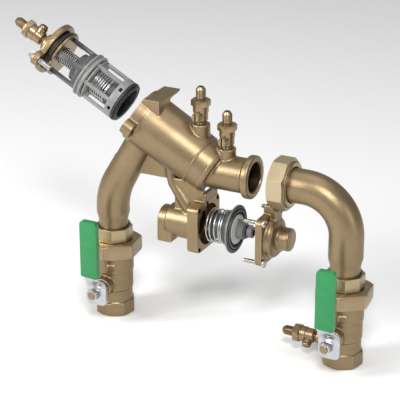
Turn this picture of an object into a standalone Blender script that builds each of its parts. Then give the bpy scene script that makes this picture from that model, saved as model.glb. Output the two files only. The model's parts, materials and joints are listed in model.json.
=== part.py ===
"""Backflow preventer, reduced pressure principle, one inch, drawn out of its housing.

The main casting stands on the outlet leg, the inlet leg stands clear on its right, the check module hangs
on the slanted bore and the relief valve module and its cover hang on the bore under the body.
World frame: +X towards the inlet leg, +Y away from the handles, +Z up, the floor at Z = 0.
Driving dimensions are in millimetres in the drawing frame, whose Z axis is the outlet leg.
"""
import math

import bmesh
import bpy
from mathutils import Matrix, Vector

MM = 0.001
ORIGIN_X = 97.7
ORIGIN_Y = -9.8

# legs and pipe
LEG_SPACING = 287.0
PIPE_Z = 198.8
PIPE_R = 19.5
PIPE_BORE = 17.0
PIPE_FACE = 178.3
COLLAR_R = 24.1
LEG_R = 19.0
LEG_END_R = 16.7
LEG_BORE = 13.3
LEG_BOTTOM = 97.0

# check module and its slanted bore, distances run down the axis from the tip of its test cock
TIP_X = -118.5
TIP_Z = 336.0
SLANT = math.radians(29.0)
FLANGE_S = 178.5
LUG_X = 1.8
LUG_Y = 35.2
LUG_R = 8.4
BOLT_HOLE = 3.6

# relief valve under the body
RELIEF_Z = 133.5
RELIEF_FACE = 122.4
RELIEF_BOLT_Y = 22.8
RELIEF_BOLT_Z = 23.6
RELIEF_HALF = 28.0

# ball valves
STEM_Z = 40.0
LEVER_SHIFT = 3.4
GRIP_SHIFT = 2.6
BALL_R = 15.5
PORT_R = 10.0

# test cocks: foot of the cock on its boss
COCK_ON_PIPE = (144.6, 228.1)
COCK_ON_BODY = (112.6, 251.3)
COCK_ON_VALVE = (258.0, 23.2)
COCK_ON_COVER = 40.0
COCK_STEM_Z = 9.7

# sides of round pieces
WIDE = 24
MID = 16
FINE = 12

BRONZE = (0.42, 0.29, 0.15)
BRASS = (0.55, 0.40, 0.20)
DARK = (0.06, 0.06, 0.06)
GREY = (0.30, 0.30, 0.29)
RUBBER = (0.015, 0.015, 0.015)
STEEL = (0.70, 0.70, 0.72)
WHITE = (0.80, 0.80, 0.76)
GREEN = (0.05, 0.40, 0.13)


def turn_y(degrees):
    return Matrix.Rotation(math.radians(degrees), 4, "Y")


def turn_z(degrees):
    return Matrix.Rotation(math.radians(degrees), 4, "Z")


def place(x, y, z):
    return Matrix.Translation(Vector((x * MM, y * MM, z * MM)))


SHIFT = place(-ORIGIN_X, -ORIGIN_Y, 0)
BODY = SHIFT
OUTLET = SHIFT
INLET = SHIFT @ place(LEG_SPACING, 0, 0)
PIPE = SHIFT @ place(0, 0, PIPE_Z) @ turn_y(90)
MODULE = SHIFT @ place(TIP_X, 0, TIP_Z) @ Matrix.Rotation(SLANT + math.pi / 2, 4, "Y")
RELIEF = SHIFT @ place(0, 0, RELIEF_Z) @ turn_y(90)
FRONTWARD = Matrix.Rotation(math.pi / 2, 4, "X")
SIDEWAYS = Matrix(((0, 0, 1, 0), (1, 0, 0, 0), (0, 1, 0, 0), (0, 0, 0, 1)))


def fresh_scene():
    for old in list(bpy.data.objects):
        bpy.data.objects.remove(old, do_unlink=True)
    home = bpy.data.collections.new("backflow_preventer")
    bpy.context.scene.collection.children.link(home)
    return home


COLLECTION = fresh_scene()


def material(name, colour, metallic, roughness):
    made = bpy.data.materials.new(name)
    made.use_nodes = True
    shader = made.node_tree.nodes["Principled BSDF"]
    shader.inputs["Base Color"].default_value = (*colour, 1.0)
    shader.inputs["Metallic"].default_value = metallic
    shader.inputs["Roughness"].default_value = roughness
    return made


def add(name, mesh, matrix):
    obj = bpy.data.objects.new(name, mesh)
    COLLECTION.objects.link(obj)
    obj.matrix_world = matrix
    return obj


def bake(obj, weld=1e-6):
    """Replaces an object's data by its evaluated mesh, closed and facing out."""
    bpy.context.view_layer.update()
    graph = bpy.context.evaluated_depsgraph_get()
    mesh = bpy.data.meshes.new_from_object(obj.evaluated_get(graph))
    bm = bmesh.new()
    bm.from_mesh(mesh)
    if weld:
        bmesh.ops.remove_doubles(bm, verts=bm.verts, dist=weld)
    bmesh.ops.recalc_face_normals(bm, faces=bm.faces)
    bm.to_mesh(mesh)
    bm.free()
    if obj.type == "MESH":
        obj.modifiers.clear()
        obj.data = mesh
        return obj
    solid = add(obj.name + "_solid", mesh, obj.matrix_world.copy())
    bpy.data.objects.remove(obj, do_unlink=True)
    return solid


def turned(matrix, profile, steps=24, name="turned"):
    """A profile of (radius, height) turned about local Z; it is a loop unless it starts and ends on the axis."""
    area = 0.0
    for (r0, z0), (r1, z1) in zip(profile, profile[1:] + profile[:1]):
        area += r0 * z1 - r1 * z0
    points = list(profile) if area < 0 else list(reversed(profile))
    mesh = bpy.data.meshes.new(name)
    edges = [(i, i + 1) for i in range(len(points) - 1)]
    if points[0][0] > 0 or points[-1][0] > 0:
        edges.append((len(points) - 1, 0))
    mesh.from_pydata([(r * MM, 0.0, z * MM) for r, z in points], edges, [])
    obj = add(name, mesh, matrix)
    screw = obj.modifiers.new("Screw", "SCREW")
    screw.steps = steps
    screw.render_steps = steps
    screw.use_merge_vertices = True
    screw.merge_threshold = 0.00001
    return bake(obj)


def tube_ring(matrix, outer, inner, low, high, steps=24, name="ring"):
    return turned(matrix, [(outer, high), (outer, low), (inner, low), (inner, high)], steps, name)


def rod(matrix, radius, low, high, steps=24, top=None, name="rod"):
    """A closed cylinder, cone or regular prism along local Z, from low to high."""
    mesh = bpy.data.meshes.new(name)
    bm = bmesh.new()
    end = radius if top is None else top
    bmesh.ops.create_cone(bm, cap_ends=True, segments=steps, radius1=radius * MM, radius2=end * MM,
                          depth=(high - low) * MM,
                          matrix=Matrix.Translation((0, 0, (low + high) / 2 * MM)))
    bm.to_mesh(mesh)
    bm.free()
    return add(name, mesh, matrix)


def polygon_rod(matrix, flats, sides, low, high, face_angle=0.0, chamfer=0.0, name="flats"):
    """A prism of so many sides, flats across, with one face's normal at face_angle degrees."""
    corner = flats / 2 / math.cos(math.pi / sides)
    spun = matrix @ turn_z(face_angle + 180.0 / sides - 90.0)
    body = rod(spun, corner, low, high, sides, name=name)
    if chamfer:
        cap = turned(matrix, [(0, high), (corner - chamfer, high), (corner + 0.4, high - chamfer * 0.6),
                              (corner + 0.4, low + chamfer * 0.6), (corner - chamfer, low), (0, low)], MID)
        combine(body, shared=[cap])
    return body


def block(matrix, low, high, name="block"):
    """A box between two corners in the local frame."""
    mesh = bpy.data.meshes.new(name)
    bm = bmesh.new()
    bmesh.ops.create_cube(bm, size=1.0)
    size = Vector([(b - a) * MM for a, b in zip(low, high)])
    mid = Vector([(a + b) / 2 * MM for a, b in zip(low, high)])
    bmesh.ops.transform(bm, matrix=Matrix.Translation(mid) @ Matrix.Diagonal((*size, 1.0)), verts=bm.verts)
    bm.to_mesh(mesh)
    bm.free()
    return add(name, mesh, matrix)


def plate(matrix, outline, low, high, name="plate"):
    """A flat outline of (x, y) points, extruded along local Z from low to high."""
    curve = bpy.data.curves.new(name, "CURVE")
    curve.dimensions = "2D"
    curve.fill_mode = "BOTH"
    curve.extrude = (high - low) / 2 * MM
    spline = curve.splines.new("POLY")
    spline.points.add(len(outline) - 1)
    for point, (x, y) in zip(spline.points, outline):
        point.co = (x * MM, y * MM, 0.0, 1.0)
    spline.use_cyclic_u = True
    obj = add(name, curve, matrix @ place(0, 0, (low + high) / 2))
    return bake(obj)


def wire(matrix, path, radius, resolution=2, taper=None, name="wire"):
    """A round bar along (x, y, z) points; taper gives each point's share of the radius."""
    curve = bpy.data.curves.new(name, "CURVE")
    curve.dimensions = "3D"
    curve.bevel_depth = radius * MM
    curve.bevel_resolution = resolution
    curve.use_fill_caps = True
    spline = curve.splines.new("POLY")
    spline.points.add(len(path) - 1)
    for index, (x, y, z) in enumerate(path):
        spline.points[index].co = (x * MM, y * MM, z * MM, 1.0)
        spline.points[index].radius = taper[index] if taper else 1.0
    return bake(add(name, curve, matrix))


def coil(matrix, radius, thickness, low, high, turns, per_turn=12, resolution=1, name="coil"):
    """A spring of round wire about local Z with closed flat end turns."""
    path = []
    count = int(turns * per_turn)
    for step in range(count + 1):
        share = step / count
        angle = math.tau * turns * share
        lift = min(1.0, max(0.0, (share * turns - 0.75) / (turns - 1.5)))
        path.append((radius * math.cos(angle), radius * math.sin(angle),
                     low + thickness + (high - low - 2 * thickness) * lift
                     + thickness * 2.1 * (min(share * turns, 0.75) - 0.75 + max(0.0, share * turns - turns + 0.75))))
    shifted = min(point[2] for point in path)
    top = max(point[2] for point in path)
    scale = (high - low - 2 * thickness) / (top - shifted)
    path = [(x, y, low + thickness + (z - shifted) * scale) for x, y, z in path]
    return wire(matrix, path, thickness, resolution, name=name)


def combine(base, joined=(), cut=(), shared=()):
    """Boolean union, difference and intersection with other objects, which are used up."""
    for operation, others in (("UNION", joined), ("DIFFERENCE", cut), ("INTERSECT", shared)):
        for other in others:
            step = base.modifiers.new(operation.title(), "BOOLEAN")
            step.operation = operation
            step.solver = "EXACT"
            step.object = other
            bake(base, 0.0)
            bpy.data.objects.remove(other, do_unlink=True)
    return base


def rounded(half_x, half_y, radius, steps=4, centre=(0.0, 0.0)):
    """The outline of a rectangle with rounded corners."""
    outline = []
    for quarter, (sx, sy) in enumerate(((1, 1), (-1, 1), (-1, -1), (1, -1))):
        for step in range(steps + 1):
            angle = math.radians(90 * quarter + 90 * step / steps)
            outline.append((centre[0] + sx * (half_x - radius) + radius * math.cos(angle),
                            centre[1] + sy * (half_y - radius) + radius * math.sin(angle)))
    return outline


def finish(obj, name, kind, parent=None):
    """Names a finished piece, gives it its material and shades its round faces smooth."""
    obj.name = name
    obj.data.name = name
    colour, metallic, roughness = kind
    obj.data.materials.clear()
    obj.data.materials.append(material(name + "_finish", colour, metallic, roughness))
    obj.data.shade_smooth()
    obj.data.set_sharp_from_angle(angle=math.radians(35))
    if parent is not None:
        keep = obj.matrix_world.copy()
        obj.parent = parent
        obj.matrix_parent_inverse = parent.matrix_world.inverted()
        obj.matrix_world = keep
    return obj


def frame_empty(name, matrix, parent=None):
    empty = bpy.data.objects.new(name, None)
    empty.empty_display_size = 0.03
    COLLECTION.objects.link(empty)
    empty.matrix_world = matrix
    bpy.context.view_layer.update()
    if parent is not None:
        empty.parent = parent
        empty.matrix_parent_inverse = parent.matrix_world.inverted()
        bpy.context.view_layer.update()
    return empty


CAST = (BRONZE, 1.0, 0.45)
TURNED = (BRASS, 1.0, 0.35)
NYLON = (DARK, 0.0, 0.5)
PALE = (GREY, 0.0, 0.5)
SEAL = (RUBBER, 0.0, 0.6)
BRIGHT = (STEEL, 1.0, 0.25)
MILKY = (WHITE, 0.0, 0.3)
VINYL = (GREEN, 0.0, 0.4)


def leg_path(top):
    """Centre points of the outlet leg: upright, then over to meet the slanted bore squarely."""
    lean = math.radians(29.0)
    corner_z = 150.6
    bend = 75.0
    reach = bend * math.tan(lean / 2)
    points = [(0, 0, LEG_BOTTOM), (0, 0, 117.0), (0, 0, 126.0)]
    for step in range(7):
        angle = lean * step / 6
        points.append((bend * (1 - math.cos(angle)), 0, corner_z - reach + bend * math.sin(angle)))
    for along in (38.0, 58.0, top):
        points.append((along * math.sin(lean), 0, corner_z + along * math.cos(lean)))
    return points


def lug_outline(radius, side, reach=12.0, steps=10):
    """A bolt lug: half a round about the origin, run straight towards the axis."""
    outline = [(radius * math.cos(math.pi * i / steps), side * radius * math.sin(math.pi * i / steps))
               for i in range(steps + 1)]
    return outline + [(-radius, -side * reach), (radius, -side * reach)]


def make_casting(parent):
    """The body: slanted bore housing, inlet pipe, outlet leg, relief valve housing, bosses and webs."""
    body = turned(MODULE, [(0, 176.5), (32.0, 176.5), (31.9, 190.0), (31.3, 190.8), (31.0, 228.0),
                           (29.6, 262.8), (28.2, 264.4), (27.8, 280.2), (25.6, 284.2), (0, 284.2)], WIDE)
    lugs = []
    for side in (-1, 1):
        at = MODULE @ place(-side * LUG_X, side * LUG_Y, 0)
        lugs.append(plate(at, lug_outline(LUG_R, side), 176.0, 190.2))
    ear = plate(SHIFT @ place(58.5, 0, 0) @ SIDEWAYS,
                [(-20.0, 255.0), (-20.0, 275.0), (31.0, 275.0), (31.0, 273.4), (8.0, 271.0), (6.0, 255.0)],
                -13.0, 13.0)
    pipe = turned(PIPE, [(0, PIPE_FACE), (23.6, PIPE_FACE), (COLLAR_R, 177.8), (COLLAR_R, 171.4),
                         (23.3, 170.8), (21.0, 170.4), (PIPE_R, 169.2), (PIPE_R, 118.0), (0, 118.0)], MID)
    path = leg_path(98.0)
    taper = [LEG_END_R / LEG_R, LEG_END_R / LEG_R, 1, 1, 1, 1, 0.99, 0.98, 0.96, 0.94, 0.9, 0.86, 0.85]
    leg = wire(BODY, path, LEG_R, 6, taper)
    boss_body = rod(BODY @ place(COCK_ON_BODY[0], 0, 0), 10.3, 222.0, COCK_ON_BODY[1], MID)
    boss_pipe = rod(BODY @ place(COCK_ON_PIPE[0], 0, 0), 9.8, 204.0, COCK_ON_PIPE[1], MID)
    barrel = rod(RELIEF @ place(2.5, 0, 0), 18.6, 76.0, 113.0, 20, 20.2)
    flange = plate(RELIEF, rounded(RELIEF_HALF - 0.5, RELIEF_HALF, 6.0, 3), 109.5, RELIEF_FACE)
    tab = plate(RELIEF, rounded(20.0, 15.5, 5.0, 3, (-18.0, 8.5)), 117.8, RELIEF_FACE - 0.4)
    arch = [(3.5 - 15.8 * math.cos(a), 15.8 * math.sin(a)) for a in [math.pi * (i / 8 - 0.5) for i in range(9)]]
    outlet_block = plate(RELIEF, [(25.5, -15.8)] + arch + [(25.5, 15.8)], 65.6, 82.5)
    rib = wire(BODY, [(76, -0.5, 198), (78, -1.5, 186), (81, -3, 177), (88, -4.5, 168), (98, -6, 155.5),
                      (103, -6, 148)], 7.2, 4)
    web_left = plate(BODY @ FRONTWARD, [(20, 180), (98, 180), (98, 205), (60, 215), (30, 205)], -3.5, 3.5)
    web_right = plate(BODY @ FRONTWARD, [(84, 146), (119.6, 146), (119.6, 184), (84, 184)], 2.6, 8.4)
    combine(body, joined=[pipe, leg, barrel, flange, tab, outlet_block, rib, web_left, web_right,
                          boss_body, boss_pipe, ear] + lugs)

    bore = turned(MODULE, [(0, 175.0), (27.2, 175.0), (27.2, 231.8), (25.0, 233.4), (25.0, 280.4),
                           (21.5, 281.2), (0, 281.2)], WIDE)
    face_off = block(MODULE, (-60.0, -60.0, 150.0), (60.0, 60.0, FLANGE_S))
    pipe_bore = rod(PIPE, PIPE_BORE, 116.0, 185.0, MID)
    leg_bore = wire(BODY, [(0, 0, LEG_BOTTOM - 3)] + leg_path(86.0)[1:], LEG_BORE, 4)
    relief_bore = turned(RELIEF, [(0, 125.0), (23.8, 125.0), (23.8, 111.3), (15.0, 111.3), (15.0, 92.0),
                                  (10.0, 92.0), (10.0, 69.5), (0, 69.5)], MID)
    drain = rod(RELIEF @ place(0, 0, 74.2) @ turn_y(90), 6.6, 0.0, 32.0, MID)
    gallery = wire(BODY, [(79, 0, 203), (79, -1.5, 186), (82, -3, 177), (89, -4.5, 168), (98, -5, 156),
                          (101, -5, 150)], 3.6, 2)
    cuts = [face_off, bore, pipe_bore, leg_bore, relief_bore, drain, gallery]
    for side in (-1, 1):
        cuts.append(rod(MODULE @ place(-side * LUG_X, side * LUG_Y, 0), BOLT_HOLE, 177.0, 196.0, MID))
    for y in (-RELIEF_BOLT_Y, RELIEF_BOLT_Y):
        for x in (-RELIEF_BOLT_Z, RELIEF_BOLT_Z):
            cuts.append(rod(RELIEF @ place(x, y, 0), 2.9, 100.0, 125.0, 8))
    for (x, top), deep in ((COCK_ON_BODY, 22.0), (COCK_ON_PIPE, 16.0)):
        cuts.append(rod(BODY @ place(x, 0, top), 6.3, -7.0, 2.0, FINE))
        cuts.append(rod(BODY @ place(x, 0, top), 2.2, -deep, -6.0, 8))
    combine(body, cut=cuts)
    return finish(body, "main_casting", CAST, parent)


def make_inlet_elbow(parent):
    """The inlet elbow: a swept quarter with a flange inside the swivel nut."""
    bend = 48.0
    points = [(-73.5, 0, PIPE_Z), (-bend - 8, 0, PIPE_Z)]
    for step in range(8):
        angle = math.pi / 2 * step / 7
        points.append((-bend + bend * math.sin(angle), 0, PIPE_Z - bend + bend * math.cos(angle)))
    points += [(0, 0, 136.0), (0, 0, 126.0), (0, 0, 117.0), (0, 0, LEG_BOTTOM)]
    taper = [1.0] * (len(points) - 2) + [LEG_END_R / LEG_R] * 2
    elbow = wire(INLET, points, LEG_R, 6, taper)
    end = INLET @ place(0, 0, PIPE_Z) @ turn_y(90)
    flange = turned(end, [(0, -73.5), (24.0, -73.5), (24.0, -69.8), (0, -69.8)], MID)
    bored = [(-80.0, 0, PIPE_Z)] + points[1:-1] + [(0, 0, LEG_BOTTOM - 4)]
    combine(elbow, joined=[flange], cut=[wire(INLET, bored, LEG_BORE, 4)])
    return finish(elbow, "inlet_elbow", CAST, parent)


def make_swivel(parent):
    """The eight-sided swivel nut on the elbow's flange, and its gasket."""
    end = INLET @ place(0, 0, PIPE_Z) @ turn_y(90)
    left = 203.4 - LEG_SPACING
    nut = polygon_rod(end, 54.4, 8, left, left + 18.4, 0.0, 1.6)
    shoulder = rod(end, 25.5, left + 18.0, left + 20.8, MID)
    hollow = turned(end, [(0, -90.0), (24.7, -90.0), (24.7, -69.5), (20.4, -69.5), (20.4, -60.0),
                          (0, -60.0)], MID)
    combine(nut, joined=[shoulder], cut=[hollow])
    finish(nut, "inlet_swivel_nut", TURNED, parent)
    return finish(tube_ring(end, 23.6, 15.5, -75.4, -73.8, MID), "inlet_gasket", SEAL, parent)


def make_union(side, frame, parent):
    """Tail piece with eight flats, union nut and gasket on top of a ball valve."""
    tail = polygon_rod(frame, 41.0, 8, 92.8, 108.5, 0.0, 1.2)
    lower = turned(frame, [(0, 94.0), (20.8, 94.0), (20.8, 88.0), (25.0, 87.6), (25.0, 84.4), (0, 84.4)], MID)
    socket = turned(frame, [(0, 110.0), (17.1, 110.0), (17.1, 96.6), (LEG_BORE, 96.6), (LEG_BORE, 80.0),
                            (0, 80.0)], MID)
    combine(tail, joined=[lower], cut=[socket])
    finish(tail, side + "_tailpiece", TURNED, parent)
    nut = polygon_rod(frame, 57.0, 6, 75.3, 92.5, -53.0, 2.2)
    hollow = turned(frame, [(0, 95.0), (21.4, 95.0), (21.4, 88.1), (26.0, 88.1), (26.0, 70.0), (0, 70.0)], MID)
    combine(nut, cut=[hollow])
    finish(nut, side + "_union_nut", TURNED, parent)
    return finish(tube_ring(frame, 22.0, 16.5, 82.3, 84.1, MID), side + "_union_gasket", SEAL, parent)


def make_valve(side, frame, parent):
    """Ball valve: hexagon end, body, two seats, ball, stem, packing nut, lever and grip."""
    end = polygon_rod(frame, 43.6, 8, 0.0, 17.6, -59.3, 2.4)
    upper = rod(frame, 20.6, 16.9, 31.0, MID)
    inside = turned(frame, [(0, 40.0), (18.7, 40.0), (18.7, 26.0), (16.2, 26.0), (16.2, 23.4), (11.5, 23.4),
                            (11.5, 16.5), (15.4, 15.5), (16.2, 1.2), (17.4, -0.2), (17.4, -3.0), (0, -3.0)], MID)
    joined = [upper]
    cuts = [inside]
    if side == "inlet":
        at = frame @ place(COCK_ON_VALVE[0] - LEG_SPACING, 0, COCK_ON_VALVE[1]) @ turn_y(-90)
        joined.append(rod(at, 7.5, -13.0, 0.0, MID))
        cuts.append(rod(at, 6.3, -6.8, 2.0, FINE))
        cuts.append(rod(at, 2.2, -20.0, -6.0, 8))
    combine(end, joined=joined, cut=cuts)
    finish(end, side + "_valve_end", CAST, parent)

    body = turned(frame, [(0, 82.0), (25.4, 82.0), (25.4, 76.4), (22.3, 75.8), (22.3, 54.2), (21.4, 53.2),
                          (21.4, 31.3), (18.4, 31.3), (18.4, 26.4), (0, 26.4)], MID)
    stem_at = frame @ place(0, 0, STEM_Z) @ FRONTWARD
    boss = turned(stem_at, [(0, 31.0), (11.0, 31.0), (11.0, 21.2), (8.2, 21.0), (8.2, 10.0), (0, 10.0)], MID)
    mark = block(frame @ turn_z(-55.0), (20.0, -5.8, 55.4), (23.2, 5.8, 66.2))
    cavity = turned(frame, [(0, 85.0), (LEG_BORE, 85.0), (LEG_BORE, 60.0), (PORT_R + 1.0, 56.7),
                            (16.2, 56.6), (16.2, 20.0), (0, 20.0)], MID)
    hole = turned(stem_at, [(0, 35.0), (4.8, 35.0), (4.8, 19.0), (6.2, 18.7), (6.2, 10.0), (0, 10.0)], FINE)
    combine(body, joined=[boss, mark], cut=[cavity, hole])
    finish(body, side + "_valve_body", CAST, parent)

    for name, sign in (("upper", 1), ("lower", -1)):
        ring = [(r, STEM_Z + sign * z) for r, z in ((15.0, 16.2), (15.0, 8.2), (10.4, 12.8), (10.4, 16.2))]
        finish(turned(frame, ring, MID), side + "_seat_" + name, MILKY, parent)

    globe = [(BALL_R * math.sin(math.pi * i / 8), BALL_R * math.cos(math.pi * i / 8)) for i in range(1, 8)]
    ball = turned(stem_at, [(0.0, BALL_R)] + globe + [(0.0, -BALL_R)], MID)
    port = rod(frame, PORT_R, 15.0, 65.0, MID)
    slot = block(stem_at, (-20.0, -3.2, 11.4), (20.0, 3.2, 20.0))
    combine(ball, cut=[port, slot])
    finish(ball, side + "_ball", BRIGHT, parent)

    stem = turned(stem_at, [(0, 16.0), (5.8, 16.0), (5.8, 18.4), (4.4, 18.7), (4.4, 39.3), (6.6, 39.3),
                            (6.6, 46.0), (4.4, 46.2), (4.4, 55.4), (0, 55.4)], FINE)
    tang = block(stem_at, (-5.2, -2.9, 11.9), (5.2, 2.9, 16.4))
    flats = [block(stem_at, (-12, y - 5, 46.3), (12, y + 5, 49.2)) for y in (-8.2, 8.2)]
    combine(stem, joined=[tang], cut=flats)
    finish(stem, side + "_stem", TURNED, parent)

    packing = polygon_rod(stem_at, 19.4, 6, 31.3, 38.9, 0.0)
    combine(packing, cut=[rod(stem_at, 4.8, 25.0, 45.0, FINE)])
    finish(packing, side + "_packing_nut", TURNED, parent)
    make_lever(side, frame, parent)


def make_lever(side, frame, parent):
    """A bent plate lever, offset from the hole for its stem, its nut and its dipped grip."""
    strip = [(46.5, -12.5), (46.5, 13.0), (57.3, 25.5), (58.7, 29.0), (58.7, 92.5),
             (61.2, 92.5), (61.2, 28.0), (59.3, 23.8), (49.0, 12.0), (49.0, -12.5)]
    bent = frame @ place(LEVER_SHIFT, 0, STEM_Z) @ SIDEWAYS
    lever = plate(bent, [(-y, z) for y, z in strip], -13.0, 13.0)
    stem_at = frame @ place(0, 0, STEM_Z) @ FRONTWARD
    lever_at = stem_at @ place(LEVER_SHIFT, 0, 0)
    outline = [(-12.2, -7.0), (-10.5, -10.8), (-6.6, -12.5), (6.6, -12.5), (10.5, -10.8), (12.2, -7.0),
               (12.2, 18.0), (8.2, 26.0), (8.2, 92.0), (-8.2, 92.0), (-8.2, 26.0), (-12.2, 18.0)]
    hole = rod(stem_at, 4.9, 40.0, 60.0, MID)
    combine(lever, cut=[hole], shared=[plate(lever_at, outline, 40.0, 70.0)])
    finish(lever, side + "_handle", BRIGHT, parent)
    nut = polygon_rod(stem_at, 12.6, 6, 49.3, 54.6, 8.0)
    combine(nut, cut=[rod(stem_at, 4.7, 45.0, 60.0, FINE)])
    finish(nut, side + "_handle_nut", BRIGHT, parent)
    grip_at = stem_at @ place(GRIP_SHIFT, 0, 0)
    grip_outline = [(-10.6, 28.6), (-8.6, 27.6), (8.6, 26.4), (10.6, 27.0), (10.6, 89.6), (9.8, 93.4),
                    (6.6, 96.0), (-6.6, 96.0), (-9.8, 93.4), (-10.6, 89.6)]
    grip = plate(grip_at, grip_outline, 56.6, 63.2)
    pocket = block(lever_at, (-8.5, 20.0, 58.4), (8.5, 92.4, 61.5))
    foot = block(lever_at, (-8.5, 20.0, 52.0), (8.5, 31.0, 61.5))
    combine(grip, cut=[pocket, foot])
    finish(grip, side + "_grip", VINYL, parent)


def make_cock(name, frame, parent, stem_parent):
    """Test cock: flare end, hexagon, plug body with a slotted stem, threaded foot."""
    body = turned(frame, [(0, 42.0), (3.4, 42.0), (5.5, 38.6), (5.5, 29.0), (5.0, 28.0), (5.0, 24.0),
                          (8.7, 20.6), (8.7, 13.6), (8.0, 12.6), (8.0, 4.6), (6.6, 3.0), (6.0, 2.6),
                          (6.0, -6.4), (0, -6.4)], FINE)
    hexagon = polygon_rod(frame, 19.0, 6, 20.4, 27.4, 0.0)
    boss_at = frame @ place(0, 0, COCK_STEM_Z) @ FRONTWARD
    boss = rod(boss_at, 5.4, 3.0, 11.6, FINE)
    cuts = [rod(frame, 2.2, -10.0, 46.0, 8), rod(boss_at, 3.9, -4.4, 14.0, FINE)]
    combine(body, joined=[hexagon, boss], cut=cuts)
    finish(body, name, TURNED, parent)
    stem = turned(boss_at, [(0, -4.0), (3.55, -4.0), (3.55, 11.9), (4.8, 11.9), (4.8, 13.6), (4.2, 14.4),
                            (0, 14.4)], FINE)
    slot = block(boss_at, (-0.7, -6.0, 13.2), (0.7, 6.0, 16.0))
    way = rod(boss_at @ turn_y(90), 1.8, -6.0, 6.0, 8)
    combine(stem, cut=[slot, way])
    return finish(stem, name + "_stem", TURNED, stem_parent)


def wedge(frame, angle, half, inner, outer, low, high, steps=8):
    """A sector block for cutting a window through a turned shell; half is its half angle in degrees."""
    turns = [math.radians(half) * (2 * i / steps - 1) for i in range(steps + 1)]
    points = [(outer * math.cos(t), outer * math.sin(t)) for t in turns]
    points += [(inner * math.cos(t), inner * math.sin(t)) for t in (turns[-1], turns[0])]
    return plate(frame @ turn_z(angle), points, low, high)


def make_module(parent):
    """Check module: cover with two bolts, two caged spring checks and their seals."""
    cover = turned(MODULE, [(0, 40.6), (9.6, 40.6), (10.2, 41.4), (10.8, 46.0), (14.5, 48.6), (18.0, 50.4),
                            (30.4, 50.4), (31.0, 51.0), (31.0, 57.2), (30.4, 57.8), (23.0, 57.8),
                            (23.0, 64.0), (26.6, 64.0), (26.6, 67.4), (0, 67.4)], WIDE)
    lugs = []
    holes = []
    for side in (-1, 1):
        at = MODULE @ place(-side * LUG_X, side * LUG_Y, 0)
        lugs.append(plate(at, lug_outline(LUG_R - 0.4, side), 50.5, 57.5))
        holes.append(rod(at, BOLT_HOLE, 45.0, 70.0, FINE))
    recess = rod(MODULE, 10.4, 57.0, 70.0, MID)
    holes += [recess, rod(MODULE, 6.3, 35.0, 47.0, FINE), rod(MODULE, 2.2, 40.0, 60.0, 8)]
    combine(cover, joined=lugs, cut=holes)
    finish(cover, "module_cover", CAST, parent)
    seal = [(25.0 + 1.7 * math.cos(a), 61.6 + 1.9 * math.sin(a)) for a in [math.tau * i / 6 for i in range(6)]]
    finish(turned(MODULE, seal, WIDE), "cover_o_ring", SEAL, parent)
    for name, side in (("front", -1), ("back", 1)):
        at = MODULE @ place(-side * LUG_X, side * LUG_Y, 0)
        bolt = rod(at, 3.2, 50.0, 72.4, FINE)
        combine(bolt, joined=[polygon_rod(at, 11.0, 6, 44.2, 50.2, 30.0)])
        finish(bolt, "cover_bolt_" + name, BRIGHT, parent)

    cage = turned(MODULE, [(23.4, 67.7), (23.4, 101.9), (17.4, 101.9), (17.4, 97.0), (18.4, 96.0),
                           (18.4, 67.7)], WIDE)
    windows = [wedge(MODULE, -78.3 + 90.0 * turn, 38.5, 8.0, 27.0, 60.0, 95.4, 6) for turn in range(4)]
    combine(cage, cut=windows)
    finish(cage, "check_2_cage", NYLON, parent)
    poppet = turned(MODULE, [(0, 101.4), (12.8, 101.4), (16.6, 99.8), (16.6, 88.2), (15.4, 87.4), (10.4, 87.4),
                             (10.4, 96.2), (6.6, 96.2), (6.6, 69.0), (6.0, 68.4), (0, 68.4)], MID)
    finish(poppet, "check_2_poppet", NYLON, parent)
    finish(coil(MODULE, 8.4, 0.8, 57.4, 95.9, 8.0, 8), "check_2_spring", BRIGHT, parent)

    cage = turned(MODULE, [(26.5, 102.3), (26.5, 104.6), (24.4, 105.2), (24.4, 107.4), (26.5, 108.0),
                           (26.5, 110.2), (24.2, 110.8), (24.2, 153.6), (22.0, 153.6), (22.0, 157.2),
                           (23.6, 157.6), (23.4, 158.6), (22.4, 159.2), (18.6, 159.2), (16.8, 147.4),
                           (20.0, 145.2), (20.0, 114.8), (12.4, 113.8), (12.4, 127.8), (9.4, 127.8),
                           (9.4, 111.0), (19.0, 108.4), (19.0, 104.6), (11.4, 104.0), (11.4, 102.3)], WIDE)
    windows = [wedge(MODULE, -190.8 - 60 * turn, 25.3, 16.0, 27.0, 112.6, 144.6, 2) for turn in range(6)]
    combine(cage, cut=windows)
    finish(cage, "check_1_cage", PALE, parent)
    poppet = turned(MODULE, [(0, 146.4), (14.0, 146.4), (16.2, 144.8), (16.2, 137.0), (15.0, 136.2),
                             (9.6, 136.2), (9.6, 141.0), (8.8, 141.0), (8.8, 117.4), (8.2, 116.8),
                             (0, 116.8)], MID)
    finish(poppet, "check_1_poppet", NYLON, parent)
    finish(coil(MODULE, 13.9, 0.95, 115.2, 135.9, 5.0, 12), "check_1_spring", BRIGHT, parent)
    seal = [(23.4 + 1.15 * math.cos(a), 155.4 + 1.6 * math.sin(a)) for a in [math.tau * i / 6 for i in range(6)]]
    finish(turned(MODULE, seal, WIDE), "module_o_ring", SEAL, parent)


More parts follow.
